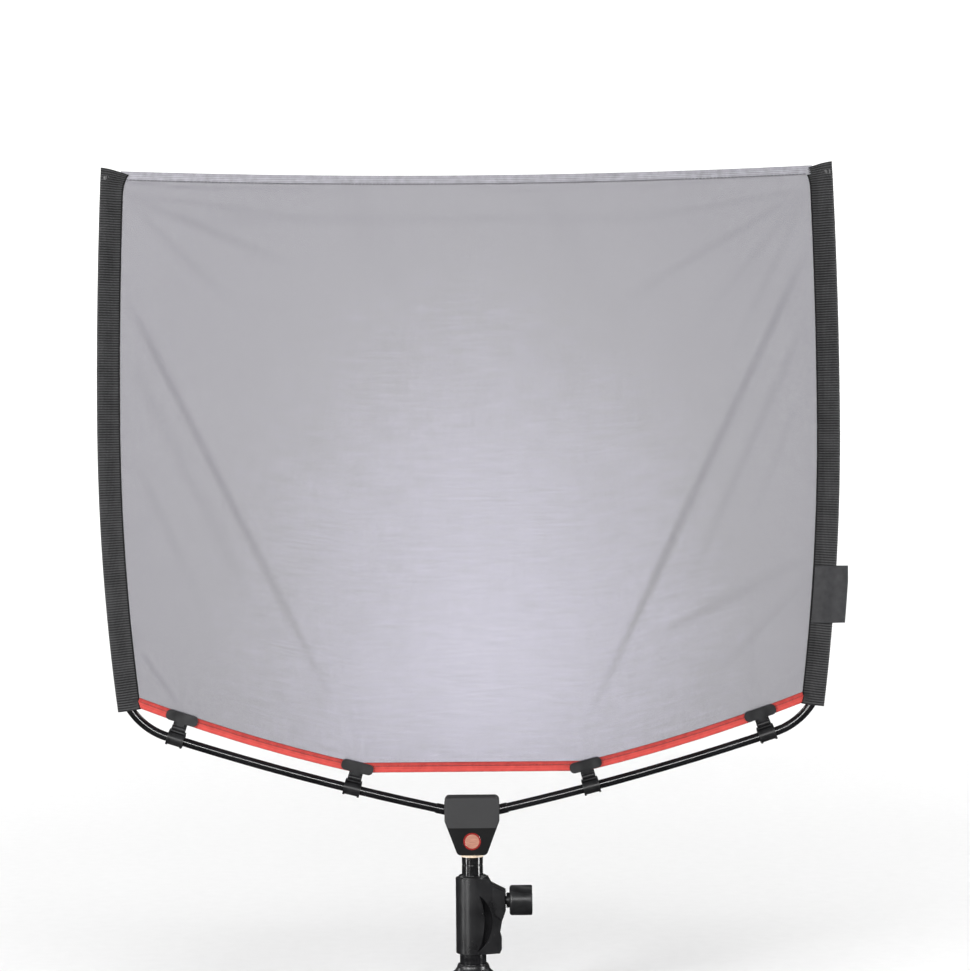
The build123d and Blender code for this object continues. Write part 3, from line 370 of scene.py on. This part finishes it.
badge_rim, tree, shader = node_material("badge_enamel", (0.2, 0.012, 0.012), 0.22)
shader.inputs["Coat Weight"].default_value = 0.5
enamel = noise(tree, coordinate(tree), 900, 2)
tree.links.new(blend_colors(tree, enamel, (0.16, 0.008, 0.008), (0.26, 0.02, 0.018)),
               shader.inputs["Base Color"])
dress(badge_rim, "hub_badge_rim")

badge_face, tree, shader = node_material("badge_copper", (0.7, 0.3, 0.22), 0.34, 0.6)
brushing = noise(tree, coordinate(tree, scale=(0.04, 1, 1)), 4200, 2)
tree.links.new(blend_colors(tree, brushing, (0.48, 0.2, 0.14), (0.78, 0.4, 0.3)),
               shader.inputs["Base Color"])
add_bump(tree, shader, brushing, 0.02 * mm, 0.5)
dress(badge_face, "hub_badge_disc")


# ---- rods ------------------------------------------------------------------------------------
# Glass fibre rod wound with tape and lacquered black: the tape leaves a shallow ridge that
# goes round the rod, and the lacquer is glossy with dull rubbed stretches.
def wave(tree, vector, pitch, direction):
    """Sine bands with a pitch in metres across one axis."""
    node = tree.nodes.new("ShaderNodeTexWave")
    node.bands_direction = direction
    node.inputs["Scale"].default_value = np.pi / 10 / pitch
    node.inputs["Distortion"].default_value = 0.0
    node.inputs["Detail"].default_value = 0.0
    tree.links.new(vector, node.inputs["Vector"])
    return node.outputs["Fac"]


winding_pitch = 7 * mm
rod_finish, tree, shader = node_material("wound_rod", (0.012, 0.012, 0.013), 0.2)
shader.inputs["Coat Weight"].default_value = 0.6
shader.inputs["Coat Roughness"].default_value = 0.1
place = coordinate(tree)
rubbed = noise(tree, place, 30, 4)
winding = wave(tree, place, winding_pitch, "X")
tree.links.new(blend_colors(tree, rubbed, (0.003, 0.003, 0.0035), (0.008, 0.008, 0.009)),
               shader.inputs["Base Color"])
tree.links.new(spread(tree, rubbed, 0.14, 0.26), shader.inputs["Roughness"])
add_bump(tree, shader, winding, 0.06 * mm, 0.35)
dress(rod_finish, "left_lower_rod", "right_lower_rod", "left_side_rod", "right_side_rod",
      "left_rod_ferrule", "right_rod_ferrule")


# ---- sleeves ---------------------------------------------------------------------------------
# Black ribbed webbing, folded lengthwise round each side rod and sewn through near its inner
# edge, with the net caught in the fold.  The top end is folded shut, the foot is open.
sleeve_foot = crossing_level + 94.8 * mm
sleeve_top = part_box("right_sleeve")[1].z
sleeve_width = 22 * mm
rod_inset = 5.4 * mm
bulge = 5.25 * mm               # half thickness over the rod
shut_bulge = 1.7 * mm           # half thickness where the top is folded shut
margin = 0.95 * mm              # half thickness of the sewn margin
closing, shut = 16 * mm, 2 * mm     # the fold flattens from one to the other under the top
fall_width = 10.5 * mm
seam_inset, seam_width, seam_depth = 15.6 * mm, 0.7 * mm, 0.3 * mm
gathered, flare, slant = 26 * mm, 0.24, 6.5 * mm
pucker, crumple = 0.9 * mm, 0.35 * mm
side_half_width = 352.5 * mm
widest_level = crossing_level + 369 * mm
bow_low, bow_top = 2150 * mm, 5300 * mm
rib_pitch = 2.4 * mm
rib_depth = 0.45 * mm
rod_allowance = 4 * mm          # extra width of each half of the web, to go round the rod
corner_level = crossing_level + 126 * mm
corner_radius = 65 * mm


def side_frame(level):
    """Outer edge of the bowed side at each level, and the unit direction inwards.

    The side is an arc of one radius below its widest level and of another above it.
    """
    radius = np.where(level < widest_level, bow_low, bow_top)
    rise = level - widest_level
    x = side_half_width - radius + np.sqrt(radius**2 - rise**2)
    inward = np.stack([-(x - side_half_width + radius), -rise], -1) / radius[..., None]
    return x, inward


def sleeve_profile(count):
    """Positions across the sleeve, there along the front and back along the rear."""
    turn = np.linspace(0, 2 * np.pi, count, endpoint=False)
    return 0.5 - 0.5 * np.cos(turn), np.where(turn < np.pi, -1.0, 1.0), np.abs(np.sin(turn))


def close_up(piece, gap=1e-6):
    """Merge a closed piece's doubled points and turn its faces outwards."""
    shape = bmesh.new()
    shape.from_mesh(piece.data)
    bmesh.ops.remove_doubles(shape, verts=shape.verts, dist=gap)
    bmesh.ops.dissolve_degenerate(shape, edges=shape.edges, dist=gap)
    bmesh.ops.recalc_face_normals(shape, faces=shape.faces)
    shape.to_mesh(piece.data)
    shape.free()


def make_sleeve(name, hand):
    """Closed webbing tube: half thickness is a circle round the rod, falling to a flat margin.

    The row runs up the side; ribs lift the surface by a rounded sine of the length.  Below the
    corner the bulge moves inwards with the rod, and the foot turns in to make the open mouth.
    Towards the top the web flares by the square of the height, slants down and puckers.
    """
    level = np.arange(sleeve_foot, sleeve_top - 0.4 * mm, rib_pitch / 6)
    across, side, edge = sleeve_profile(44)
    below = np.clip(corner_level - level, 0, corner_radius)
    drift = corner_radius - np.sqrt(corner_radius**2 - below**2)
    centre = rod_inset + drift
    near_top = np.clip((level - (sleeve_top - closing)) / (closing - shut), 0, 1)
    bulge_here = bulge + (shut_bulge - bulge) * near_top**2 * (3 - 2 * near_top)
    w = across[None] * sleeve_width
    c = centre[:, None]
    b = bulge_here[:, None]
    outer = b * np.sqrt(np.clip(1 - ((c - w) / c)**2, 0, 1))
    fall = np.clip((w - c) / fall_width, 0, 1)
    inner = margin + (b - margin) * (0.5 + 0.5 * np.cos(np.pi * fall))
    round_end = np.sqrt(np.clip(1 - ((w - (sleeve_width - margin)) / margin)**2, 0, 1))
    inner = np.where(w > sleeve_width - margin, margin * round_end, inner)
    half = np.where(w < c, outer, inner)
    seam = np.exp(-((w - seam_inset) / seam_width)**2) * seam_depth
    half = np.maximum(half - seam * (near_top[:, None] < 0.5), 0)
    rib = np.sin(np.pi * (level - sleeve_foot) / rib_pitch)**2 * rib_depth
    rib = rib[:, None] * np.clip(half / (0.8 * mm), 0.25, 1)
    x, inward = side_frame(level)
    gather = np.clip((level - (sleeve_top - gathered)) / gathered, 0, 1)[:, None]**2
    reach = w - rib * np.cos(np.pi * across)[None] * (1 - edge[None]) * 0.6
    reach = reach * (1 + flare * gather)
    points = np.zeros((len(level), len(across), 3))
    points[..., 0] = x[:, None] + inward[:, 0:1] * reach
    points[..., 2] = level[:, None] + inward[:, 1:2] * reach
    points[..., 2] -= slant * gather * across[None]**1.5
    points[..., 1] = side[None] * np.where(edge[None] < 1e-9, 0, half - rib_depth + rib)
    wrinkle = np.sin(level * 71.0) * 0.5 + np.sin(level * 173.0 + 1.3) * 0.3
    points[..., 1] += (wrinkle * crumple)[:, None] * fall
    points[..., 1] += pucker * gather * (np.sin(14 * across) * np.sin(np.pi * across))[None]
    mouth = []
    for rows_up, thinner in ((1, 0.96), (3, 0.93), (30, 0.9)):
        row = points[rows_up] * [1, thinner, 1]
        row[:, 0] = row[:, 0].mean() + (row[:, 0] - row[:, 0].mean()) * (0.5 + 0.5 * thinner)
        mouth.append(row)
    pole_row = np.repeat(mouth[-1].mean(0, keepdims=True), len(across), 0)
    top_row = points[-1].copy()
    top_row[:, 2] += 0.35 * mm
    top_row[:, 1] *= 0.4
    top_pole = np.repeat(top_row.mean(0, keepdims=True), len(across), 0)
    grid = np.concatenate([pole_row[None], np.array(mouth[::-1]), points, top_row[None],
                           top_pole[None]])
    grid[..., 0] *= hand
    girth = 2 * (sleeve_width + rod_allowance)
    piece = surface(name, grid, (girth, sleeve_top - sleeve_foot), wrap_cols=True)
    close_up(piece)
    return piece


webbing, tree, shader = node_material("ribbed_webbing", (0.015, 0.015, 0.016), 0.7)
shader.inputs["Specular IOR Level"].default_value = 0.25
shader.inputs["Sheen Weight"].default_value = 0.12
shader.inputs["Sheen Roughness"].default_value = 0.4
weave = coordinate(tree, "UV")
warp = wave(tree, weave, 0.9 * mm, "X")
rib_bands_and_painted_sheen = wave(tree, weave, rib_pitch, "Y")
fibre = noise(tree, coordinate(tree, "UV", (6, 1, 1)), 900, 3)
dust = noise(tree, coordinate(tree), 60, 4)
# the rib bands colour the ribs lighter and the gaps between them darker: painted sheen on the ribs
# and painted shade between them, over the woven threads
threads = combine(tree, "MULTIPLY", combine(tree, "ADD", warp, 0.5), rib_bands_and_painted_sheen)
tone = combine(tree, "ADD", combine(tree, "MULTIPLY", threads, 0.5),
               combine(tree, "MULTIPLY", dust, 0.35))
tone = combine(tree, "ADD", tone, combine(tree, "MULTIPLY", fibre, 0.2))
across_web = tree.nodes.new("ShaderNodeSeparateXYZ")
tree.links.new(weave, across_web.inputs["Vector"])
from_fold = combine(tree, "ABSOLUTE", combine(tree, "SUBTRACT", across_web.outputs["X"],
                                              sleeve_width + rod_allowance), 0)
# the sewn margin next to the net is darker
dark_margin = (4.0 * mm, 4.8 * mm)
tone = combine(tree, "MULTIPLY", tone, spread(tree, from_fold, 0.3, 1, *dark_margin))
tree.links.new(
    blend_colors(tree, tone, (0.0015, 0.0015, 0.0017), (0.052, 0.052, 0.054), 0.24, 0.95),
    shader.inputs["Base Color"])
tree.links.new(spread(tree, fibre, 0.6, 0.85), shader.inputs["Roughness"])
add_bump(tree, shader, combine(tree, "ADD", threads, combine(tree, "MULTIPLY", fibre, 0.4)),
         0.25 * mm, 0.9)

for hand, side_name in ((1, "right"), (-1, "left")):
    sleeve = make_sleeve(f"{side_name}_webbing_sleeve", hand)
    sleeve.data.materials.append(webbing)
    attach(sleeve, "flag")
    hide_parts(f"{side_name}_sleeve")


# ---- net -------------------------------------------------------------------------------------
# One panel of fine light grey scrim, woven open so that it thins the light, and stretched flat
# between sleeves and hems.  Tension draws soft creases from the sleeves towards the clips.
hem_height = 9 * mm
hem_dip = 8 * mm
binding_height = 9.5 * mm
hem_top = crossing_level + 609.5 * mm
beyond_side = side_half_width + 5 * mm
inner_jaw = (108.3 * mm, crossing_level + 40.2 * mm)
outer_jaw = (274.1 * mm, crossing_level + 88.6 * mm)
binding_end = (334.5 * mm, crossing_level + 111.4 * mm)


def arc_level(x, first, middle, last):
    """Height at x of the circle's lower or upper side through three points."""
    (x1, z1), (x2, z2), (x3, z3) = first, middle, last
    rows = np.array([[x2 - x1, z2 - z1], [x3 - x1, z3 - z1]]) * 2
    sums = np.array([x2**2 - x1**2 + z2**2 - z1**2, x3**2 - x1**2 + z3**2 - z1**2])
    cx, cz = np.linalg.solve(rows, sums)
    radius = np.hypot(x1 - cx, z1 - cz)
    side = np.sign(z1 - cz)
    return cz + side * np.sqrt(np.maximum(radius**2 - (x - cx)**2, 0))


def top_line(x):
    """Top edge of the flag, which dips between the sleeves."""
    return arc_level(np.abs(x), (beyond_side, hem_top), (0, hem_top - hem_dip),
                     (-beyond_side, hem_top))


def bottom_line(x):
    """Middle of the bottom binding: level between the inner clips, then rising."""
    x = np.abs(x)
    rising = arc_level(x, inner_jaw, outer_jaw, binding_end)
    return np.where(x < inner_jaw[0], inner_jaw[1], rising)


# each fold: start and end in mm (distance from the column, height over the rods' crossing),
# half width in mm, depth in mm, and how much painted shade darkens the net along it
folds = [
    ((-322, 482), (-150, 138), 7.0, 2.2, 0.50),
    ((-318, 420), (-205, 190), 10.0, 1.2, 0.14),
    ((-316, 330), (-250, 180), 9.0, 0.9, 0.12),
    ((318, 521), (122, 110), 7.5, 2.4, 0.60),
    ((316, 455), (215, 232), 8.0, 1.4, 0.30),
    ((318, 400), (262, 262), 7.0, 0.9, 0.16),
    ((-323, 586), (-160, 562), 6.0, 1.1, 0.22),
    ((-323, 584), (-168, 518), 8.0, 1.2, 0.22),
    ((-322, 578), (-214, 470), 9.0, 1.0, 0.16),
    ((318, 586), (160, 560), 6.0, 1.1, 0.22),
    ((318, 584), (142, 480), 8.0, 1.3, 0.26),
    ((318, 580), (208, 450), 8.0, 1.1, 0.20),
    ((318, 574), (255, 440), 7.0, 1.0, 0.20),
    ((-314, 152), (-272, 92), 4.5, 1.1, 0.40),
    ((318, 236), (165, 160), 9.0, 1.2, 0.18),
    ((316, 214), (235, 128), 7.0, 0.9, 0.14),
    ((266, 210), (268, 96), 1.3, 0.3, 0.30),
    ((-290, 560), (290, 556), 9.0, 0.6, 0.14),
    # these thin lines just under the top hem paint shade along the net's fold beneath the hem
    ((-352, 600), (-232, 589), 1.6, 0.3, 0.85),
    ((-282, 592), (-110, 587), 1.6, 0.3, 0.85),
    ((345, 603), (170, 590), 1.6, 0.3, 0.5),
    ((30, 585), (190, 590), 1.6, 0.3, 0.3),
    ((-120, 598), (-60, 470), 20.0, 0.8, 0.06),
    ((60, 598), (150, 440), 20.0, 0.8, 0.06),
]


def fold_lines(x, z):
    """Height and painted shade of every fold: one flank up and one down across its line.

    The height across is distance times a bell curve, and fades at both ends of the line.
    """
    height, dark = np.zeros_like(x), np.zeros_like(x)
    for start, end, half_width, depth, shade in folds:
        start, end = np.array(start) * mm, np.array(end) * mm
        length = np.hypot(*(end - start))
        along = (end - start) / length
        px, pz = x - start[0], z - crossing_level - start[1]
        t = (px * along[0] + pz * along[1]) / length
        d = (px * -along[1] + pz * along[0]) / (half_width * mm)
        fade = np.clip((t + 0.04) / 0.16, 0, 1) * np.clip((1.12 - t) / 0.55, 0, 1)
        height += depth * mm * fade * 1.6 * d * np.exp(-d * d)
        dark += shade * fade * np.exp(-4 * (d - 0.25)**2)
    return height, dark


def net_swell(x, z):
    """How far the net stands out of its plane: folds, puckers at the sleeves and clips."""
    swell = fold_lines(x, z)[0]
    side, _ = side_frame(z)
    from_side = np.maximum(side - sleeve_width - np.abs(x), 0)
    swell += 0.5 * mm * np.sin(z * 150 + x * 26) * np.exp(-from_side / (16 * mm))
    for jaw in (inner_jaw, outer_jaw):
        for hand in (-1, 1):
            gap_x, gap_z = x - hand * jaw[0], z - jaw[1]
            away = np.hypot(gap_x, gap_z)
            fan = np.arctan2(gap_z, gap_x)
            swell += 0.6 * mm * np.sin(fan * 14) * np.exp(-(away / (42 * mm))**2)
    return swell + 0.8 * mm * np.sin(x * 9 + 0.6) * np.sin(z * 7 + 0.4)


def net_grid(cols, rows):
    """Grid over the net: the columns share the width at each level, the rows the height."""
    share = np.linspace(-1, 1, cols)[None]
    rise = np.linspace(0, 1, rows)[:, None]
    x = share * (side_half_width - sleeve_width) + 0 * rise
    for _ in range(6):
        low = bottom_line(x) + 3.5 * mm
        high = top_line(x) - hem_height + 1.5 * mm
        z = low + (high - low) * rise
        side, inward = side_frame(z)
        x = share * (side + inward[..., 0] * (sleeve_width - 1.4 * mm))
    edge = np.minimum(1, np.minimum(rise, 1 - rise) * 24) * np.minimum(1, (1 - abs(share)) * 30)
    return np.stack([x, net_swell(x, z) * edge, z], -1)


thread_pitch = 0.5 * mm
net_points = net_grid(321, 273)
net = surface("scrim_net", net_points, (0.66, 0.55))
fold_painted_shade = net.data.attributes.new("fold_painted_shade", "FLOAT", "POINT")
fold_painted_shade.data.foreach_set("value", fold_lines(net_points[..., 0], net_points[..., 2])[1].ravel())

scrim, tree, shader = node_material("scrim_weave", (0.3, 0.29, 0.33), 0.8)
shader.inputs["Sheen Weight"].default_value = 0.05
weave = coordinate(tree, "UV")
warp = wave(tree, weave, thread_pitch, "X")
weft = wave(tree, weave, thread_pitch, "Y")
holes = combine(tree, "MULTIPLY", combine(tree, "SUBTRACT", 1.0, warp),
                combine(tree, "SUBTRACT", 1.0, weft))
weft_slub = noise(tree, coordinate(tree, "UV", (0.07, 1, 1)), 420, 2)
warp_slub = noise(tree, coordinate(tree, "UV", (1, 0.07, 1)), 420, 2)
cloud = noise(tree, coordinate(tree), 7, 3)
# painted light: the scrim is coloured palest round a spot low in its middle, as a pool of light, and
# darker away from it
light_pool_right, light_pool_rise, light_pool_stretch = 13.3 * mm, 130 * mm, 1.5
light_pool_radius, light_pool_fade_radius = 40 * mm, 560 * mm
middle = tree.nodes.new("ShaderNodeVectorMath")
middle.operation = "LENGTH"
tree.links.new(
    coordinate(tree, "Object", (light_pool_stretch, 1, 1),
               (-light_pool_right * light_pool_stretch, 0, -crossing_level - light_pool_rise)),
    middle.inputs[0])
painted_light_falloff = spread(tree, middle.outputs["Value"], 0, 1, light_pool_radius, light_pool_fade_radius)
tone = combine(tree, "ADD", combine(tree, "MULTIPLY", weft_slub, 0.28),
               combine(tree, "MULTIPLY", warp_slub, 0.16))
tone = combine(tree, "ADD", tone, combine(tree, "MULTIPLY", cloud, 0.12))
tone = combine(tree, "ADD", tone, combine(tree, "MULTIPLY", painted_light_falloff, -0.44))
shade = tree.nodes.new("ShaderNodeAttribute")
shade.attribute_name = "fold_painted_shade"
# painted shade along the folds darkens the colour and thickens the cover
tone = combine(tree, "ADD", tone, combine(tree, "MULTIPLY", shade.outputs["Fac"], -0.45))
tree.links.new(blend_colors(tree, tone, (0.1, 0.096, 0.114), (0.3, 0.284, 0.376), 0.0, 0.5),
               shader.inputs["Base Color"])
cover = combine(tree, "SUBTRACT", 0.88, combine(tree, "MULTIPLY", holes, 0.6))
cover = combine(tree, "ADD", cover, combine(tree, "MULTIPLY", shade.outputs["Fac"], 0.12))
# the painted light's falloff also makes the weave a little more opaque away from the spot
cover = combine(tree, "ADD", cover, combine(tree, "MULTIPLY", painted_light_falloff, 0.1))
tree.links.new(cover, shader.inputs["Alpha"])
add_bump(tree, shader, combine(tree, "ADD", warp, weft), 0.15 * mm, 0.5)
net.data.materials.append(scrim)
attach(net, "flag")
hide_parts("net_panel")


# ---- hems ------------------------------------------------------------------------------------
# The net's top edge is folded twice and run through with a row of dark stitches.  Its bottom
# edge is bound in red bias tape, folded over and sewn with a darker red thread.
def strip_along(name, x, line, height, thickness, swell, share_rows=15):
    """Closed flat strip: a rounded rectangle carried along a line that is a height over x.

    The section's half thickness is constant and rolls off over the last part of its height.
    """
    turn = np.linspace(0, 2 * np.pi, 2 * share_rows, endpoint=False)
    up = np.sign(np.sin(turn)) * np.abs(np.sin(turn))**0.5 * 0.5
    out = np.sign(np.cos(turn)) * np.abs(np.cos(turn))**0.3 * 0.5
    z = line(x)
    slope = np.gradient(z, x)
    tilt = 1 / np.sqrt(1 + slope**2)
    points = np.zeros((len(x), len(turn), 3))
    rise = up[None] * height
    points[..., 0] = x[:, None] - rise * (slope * tilt)[:, None]
    points[..., 2] = z[:, None] + rise * tilt[:, None]
    points[..., 1] = out[None] * thickness + swell(x[:, None], rise)
    ends = [np.repeat(points[i].mean(0, keepdims=True), len(turn), 0)[None] for i in (0, -1)]
    grid = np.concatenate([ends[0], points, ends[1]])
    length = float(np.hypot(np.diff(x), np.diff(z)).sum())
    strip = surface(name, grid.swapaxes(0, 1), (length, 2 * height), wrap_rows=True)
    close_up(strip)
    return strip


def stitch_row(name, x, line, offset, face, length, radius, material, swell):
    """Row of thread stitches: a six sided spindle laid at every place along a line."""
    z = line(x) + offset
    slope = np.gradient(line(x), x)
    sections = np.array([-0.5, -0.3, 0.3, 0.5])
    fat = np.array([0.35, 1.0, 1.0, 0.35])
    turn = np.arange(6) * np.pi / 3
    ring = np.stack([np.repeat(sections, 6) * length,
                     np.tile(np.cos(turn), 4) * np.repeat(fat, 6) * radius,
                     np.tile(np.sin(turn), 4) * np.repeat(fat, 6) * radius], -1)
    tilt = 1 / np.sqrt(1 + slope**2)
    along = np.stack([tilt, 0 * x, slope * tilt], -1)
    across = np.stack([-slope * tilt, 0 * x, tilt], -1)
    front = np.array([0, 1, 0])
    middle = np.stack([x, face + swell(x, offset + 0 * x), z], -1)
    points = (middle[:, None] + ring[None, :, 0:1] * along[:, None]
              + ring[None, :, 1:2] * front + ring[None, :, 2:3] * across[:, None])
    quads = [[6 * r + k, 6 * r + (k + 1) % 6, 6 * r + 6 + (k + 1) % 6, 6 * r + 6 + k]
             for r in range(3) for k in range(6)]
    starts = np.arange(len(x))[:, None, None] * len(ring)
    sides = (np.array(quads)[None] + starts).reshape(-1, 4).tolist()
    caps = (np.array([[5, 4, 3, 2, 1, 0], [18, 19, 20, 21, 22, 23]])[None] + starts)
    mesh = bpy.data.meshes.new(name)
    mesh.from_pydata(points.reshape(-1, 3).tolist(), [], sides + caps.reshape(-1, 6).tolist())
    mesh.polygons.foreach_set("use_smooth", np.ones(len(mesh.polygons), bool))
    row = bpy.data.objects.new(name, mesh)
    scene.collection.objects.link(row)
    close_up(row, 1e-9)
    row.data.materials.append(material)
    return row


def cloth_finish(name, dark, light, pitch, roughness, height=0, painted_foot_light=0, painted_edge_shade=0):
    """Tightly woven tape: fine crossing threads, and a slow change of shade.

    On a folded strip of a given height the colour paints shade on the edges and light on the lower
    half.
    """
    material, tree, shader = node_material(name, light, roughness)
    shader.inputs["Specular IOR Level"].default_value = 0.25
    shader.inputs["Sheen Weight"].default_value = 0.1
    weave = coordinate(tree, "UV")
    threads = combine(tree, "MULTIPLY", wave(tree, weave, pitch, "X"),
                      wave(tree, weave, pitch, "Y"))
    fade = noise(tree, coordinate(tree), 160, 4)
    tone = combine(tree, "ADD", combine(tree, "MULTIPLY", threads, 0.5),
                   combine(tree, "MULTIPLY", fade, 0.5))
    if height:
        around = tree.nodes.new("ShaderNodeSeparateXYZ")
        tree.links.new(weave, around.inputs["Vector"])
        down = combine(tree, "PINGPONG", combine(tree, "SUBTRACT", around.outputs["Y"],
                                                 height / 2), height)
        # painted light on the lower half and painted shade on the edges of the folded strip
        tone = combine(tree, "ADD", tone, spread(tree, down, 0, painted_foot_light, 0.47 * height,
                                                 0.53 * height))
        tone = combine(tree, "ADD", tone, spread(tree, down, painted_edge_shade, 0, 0.12 * height,
                                                 0.26 * height))
        tone = combine(tree, "ADD", tone, spread(tree, down, 0, painted_edge_shade, 0.78 * height,
                                                 0.9 * height))
    tree.links.new(blend_colors(tree, tone, dark, light, 0.15, 0.75), shader.inputs["Base Color"])
    add_bump(tree, shader, threads, 0.1 * mm, 0.7)
    return material


def thread_finish(name, color):
    """Twisted sewing thread."""
    material, tree, shader = node_material(name, color, 0.6)
    shader.inputs["Sheen Weight"].default_value = 0.3
    twist = noise(tree, coordinate(tree), 4000, 2)
    dark = tuple(0.55 * part for part in color)
    tree.links.new(blend_colors(tree, twist, dark, color), shader.inputs["Base Color"])
    return material


def hem_swell(x, rise):
    """Slow sine along the top hem that grows from its middle to its ends."""
    return 0.35 * mm * np.sin(x * 210) * np.clip(np.abs(x) / 0.3, 0.2, 1) + 0 * rise


def binding_swell(x, rise):
    """Slow sine along the binding."""
    return 0.25 * mm * np.sin(x * 160 + 1) + 0 * rise


def hem_line(x):
    """Middle of the top hem."""
    return top_line(x) - hem_height / 2


hem_thickness, hem_tuck = 1.1 * mm, 2.5 * mm
hem_reach = side_half_width - sleeve_width - hem_tuck
hem_x = np.linspace(-hem_reach, hem_reach, 520)
top_hem = strip_along("folded_top_hem", hem_x, hem_line, hem_height, hem_thickness, hem_swell)
top_hem.data.materials.append(
    cloth_finish("hem_scrim", (0.13, 0.128, 0.138), (0.34, 0.335, 0.37), thread_pitch, 0.8,
                 height=hem_height, painted_edge_shade=-0.1))
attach(top_hem, "flag")
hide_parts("top_hem")

grey_thread = thread_finish("grey_thread", (0.03, 0.03, 0.034))
# a row starts and ends before the sleeves and lies just proud of either face
hem_stitch_gap, hem_stitch_pitch, hem_stitch_length = 6 * mm, 3.4 * mm, 2.7 * mm
hem_stitch_out, hem_stitch_radius = 0.62 * mm, 0.42 * mm
hem_stitch_rise = 0.9 * mm - hem_height
stitch_x = np.arange(-hem_reach + hem_stitch_gap, hem_reach - hem_stitch_gap, hem_stitch_pitch)
stitches = []
for face_name, face in (("front", -hem_stitch_out), ("rear", hem_stitch_out)):
    stitches.append(stitch_row(f"top_hem_{face_name}_stitches", stitch_x, top_line,
                               hem_stitch_rise, face, hem_stitch_length, hem_stitch_radius,
                               grey_thread, hem_swell))

binding_reach, binding_thickness = 316 * mm, 1.7 * mm
binding_x = np.concatenate([
    -np.linspace(binding_reach, inner_jaw[0], 190),
    np.linspace(-inner_jaw[0], inner_jaw[0], 122)[1:-1],
    np.linspace(inner_jaw[0], binding_reach, 190),
])
binding = strip_along("red_bottom_binding", binding_x, bottom_line, binding_height,
                      binding_thickness, binding_swell)
binding.data.materials.append(
    cloth_finish("red_tape", (0.19, 0.012, 0.011), (0.47, 0.055, 0.045), 0.7 * mm, 0.7,
                 height=binding_height, painted_foot_light=0.22, painted_edge_shade=-0.45))
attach(binding, "flag")
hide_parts("bottom_binding")

dark_red_thread = thread_finish("dark_red_thread", (0.16, 0.012, 0.012))
tape_stitch_gap, tape_stitch_pitch, tape_stitch_length = 5 * mm, 3.2 * mm, 2.4 * mm
tape_stitch_out, tape_stitch_radius, tape_stitch_rise = 0.92 * mm, 0.34 * mm, 1.4 * mm
stitch_x = np.arange(-binding_reach + tape_stitch_gap, binding_reach - tape_stitch_gap,
                     tape_stitch_pitch)
for face_name, face in (("front", -tape_stitch_out), ("rear", tape_stitch_out)):
    stitches.append(stitch_row(f"binding_{face_name}_stitches", stitch_x, bottom_line,
                               tape_stitch_rise, face, tape_stitch_length, tape_stitch_radius,
                               dark_red_thread, binding_swell))
for row in stitches:
    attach(row, "flag")


# ---- side label ------------------------------------------------------------------------------
# Plain black woven tab folded round the right sleeve's edge and sewn on, left blank.
label_low, label_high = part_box("side_label")
label_middle = (label_low.z + label_high.z) / 2
label_edge = float(side_frame(np.array(label_middle))[0])
# front half of the fold seen from above: place across, and distance in front of the net
label_half = np.array([
    [label_edge - 21.4 * mm, 1.6 * mm], [label_edge - 14 * mm, 4.4 * mm],
    [label_edge - 9 * mm, 6.1 * mm], [label_edge - 3 * mm, 5.9 * mm],
    [label_edge + 3 * mm, 3.4 * mm], [label_edge + 9 * mm, 1.2 * mm],
    [label_high.x - 0.5 * mm, 0.75 * mm], [label_high.x, 0.0],
])
label_path = np.concatenate([label_half * [1, -1], label_half[-2::-1]])
path_length = np.concatenate([[0], np.cumsum(np.hypot(*np.diff(label_path, axis=0).T))])
fine = np.linspace(0, path_length[-1], 91)
label_xy = np.stack([np.interp(fine, path_length, label_path[:, k]) for k in (0, 1)], -1)
# the fold is rounded by averaging each point with its neighbours a few times
kernel = np.array([1, 4, 6, 4, 1]) / 16
for _ in range(6):
    padded_xy = np.pad(label_xy, ((2, 2), (0, 0)), mode="edge")
    label_xy = np.stack([np.convolve(padded_xy[:, k], kernel, "valid") for k in (0, 1)], -1)
label_levels = np.linspace(label_low.z + 0.4 * mm, label_high.z - 0.4 * mm, 56)
label_points = np.zeros((len(label_levels), len(label_xy), 3))
label_points[..., :2] = label_xy[None]
label_points[..., 0] += (side_frame(label_levels)[0] - label_edge)[:, None]
label_points[..., 0] = np.minimum(label_points[..., 0], label_high.x - 0.3 * mm)
label_points[..., 2] = label_levels[:, None]
label = surface("blank_side_label", label_points, (path_length[-1], 55 * mm))
thick = label.modifiers.new("cloth", "SOLIDIFY")
thick.thickness = 0.6 * mm
thick.offset = -1
label.data.materials.append(
    cloth_finish("label_satin", (0.008, 0.008, 0.009), (0.04, 0.04, 0.043), 0.6 * mm, 0.55))
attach(label, "flag")
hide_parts("side_label")
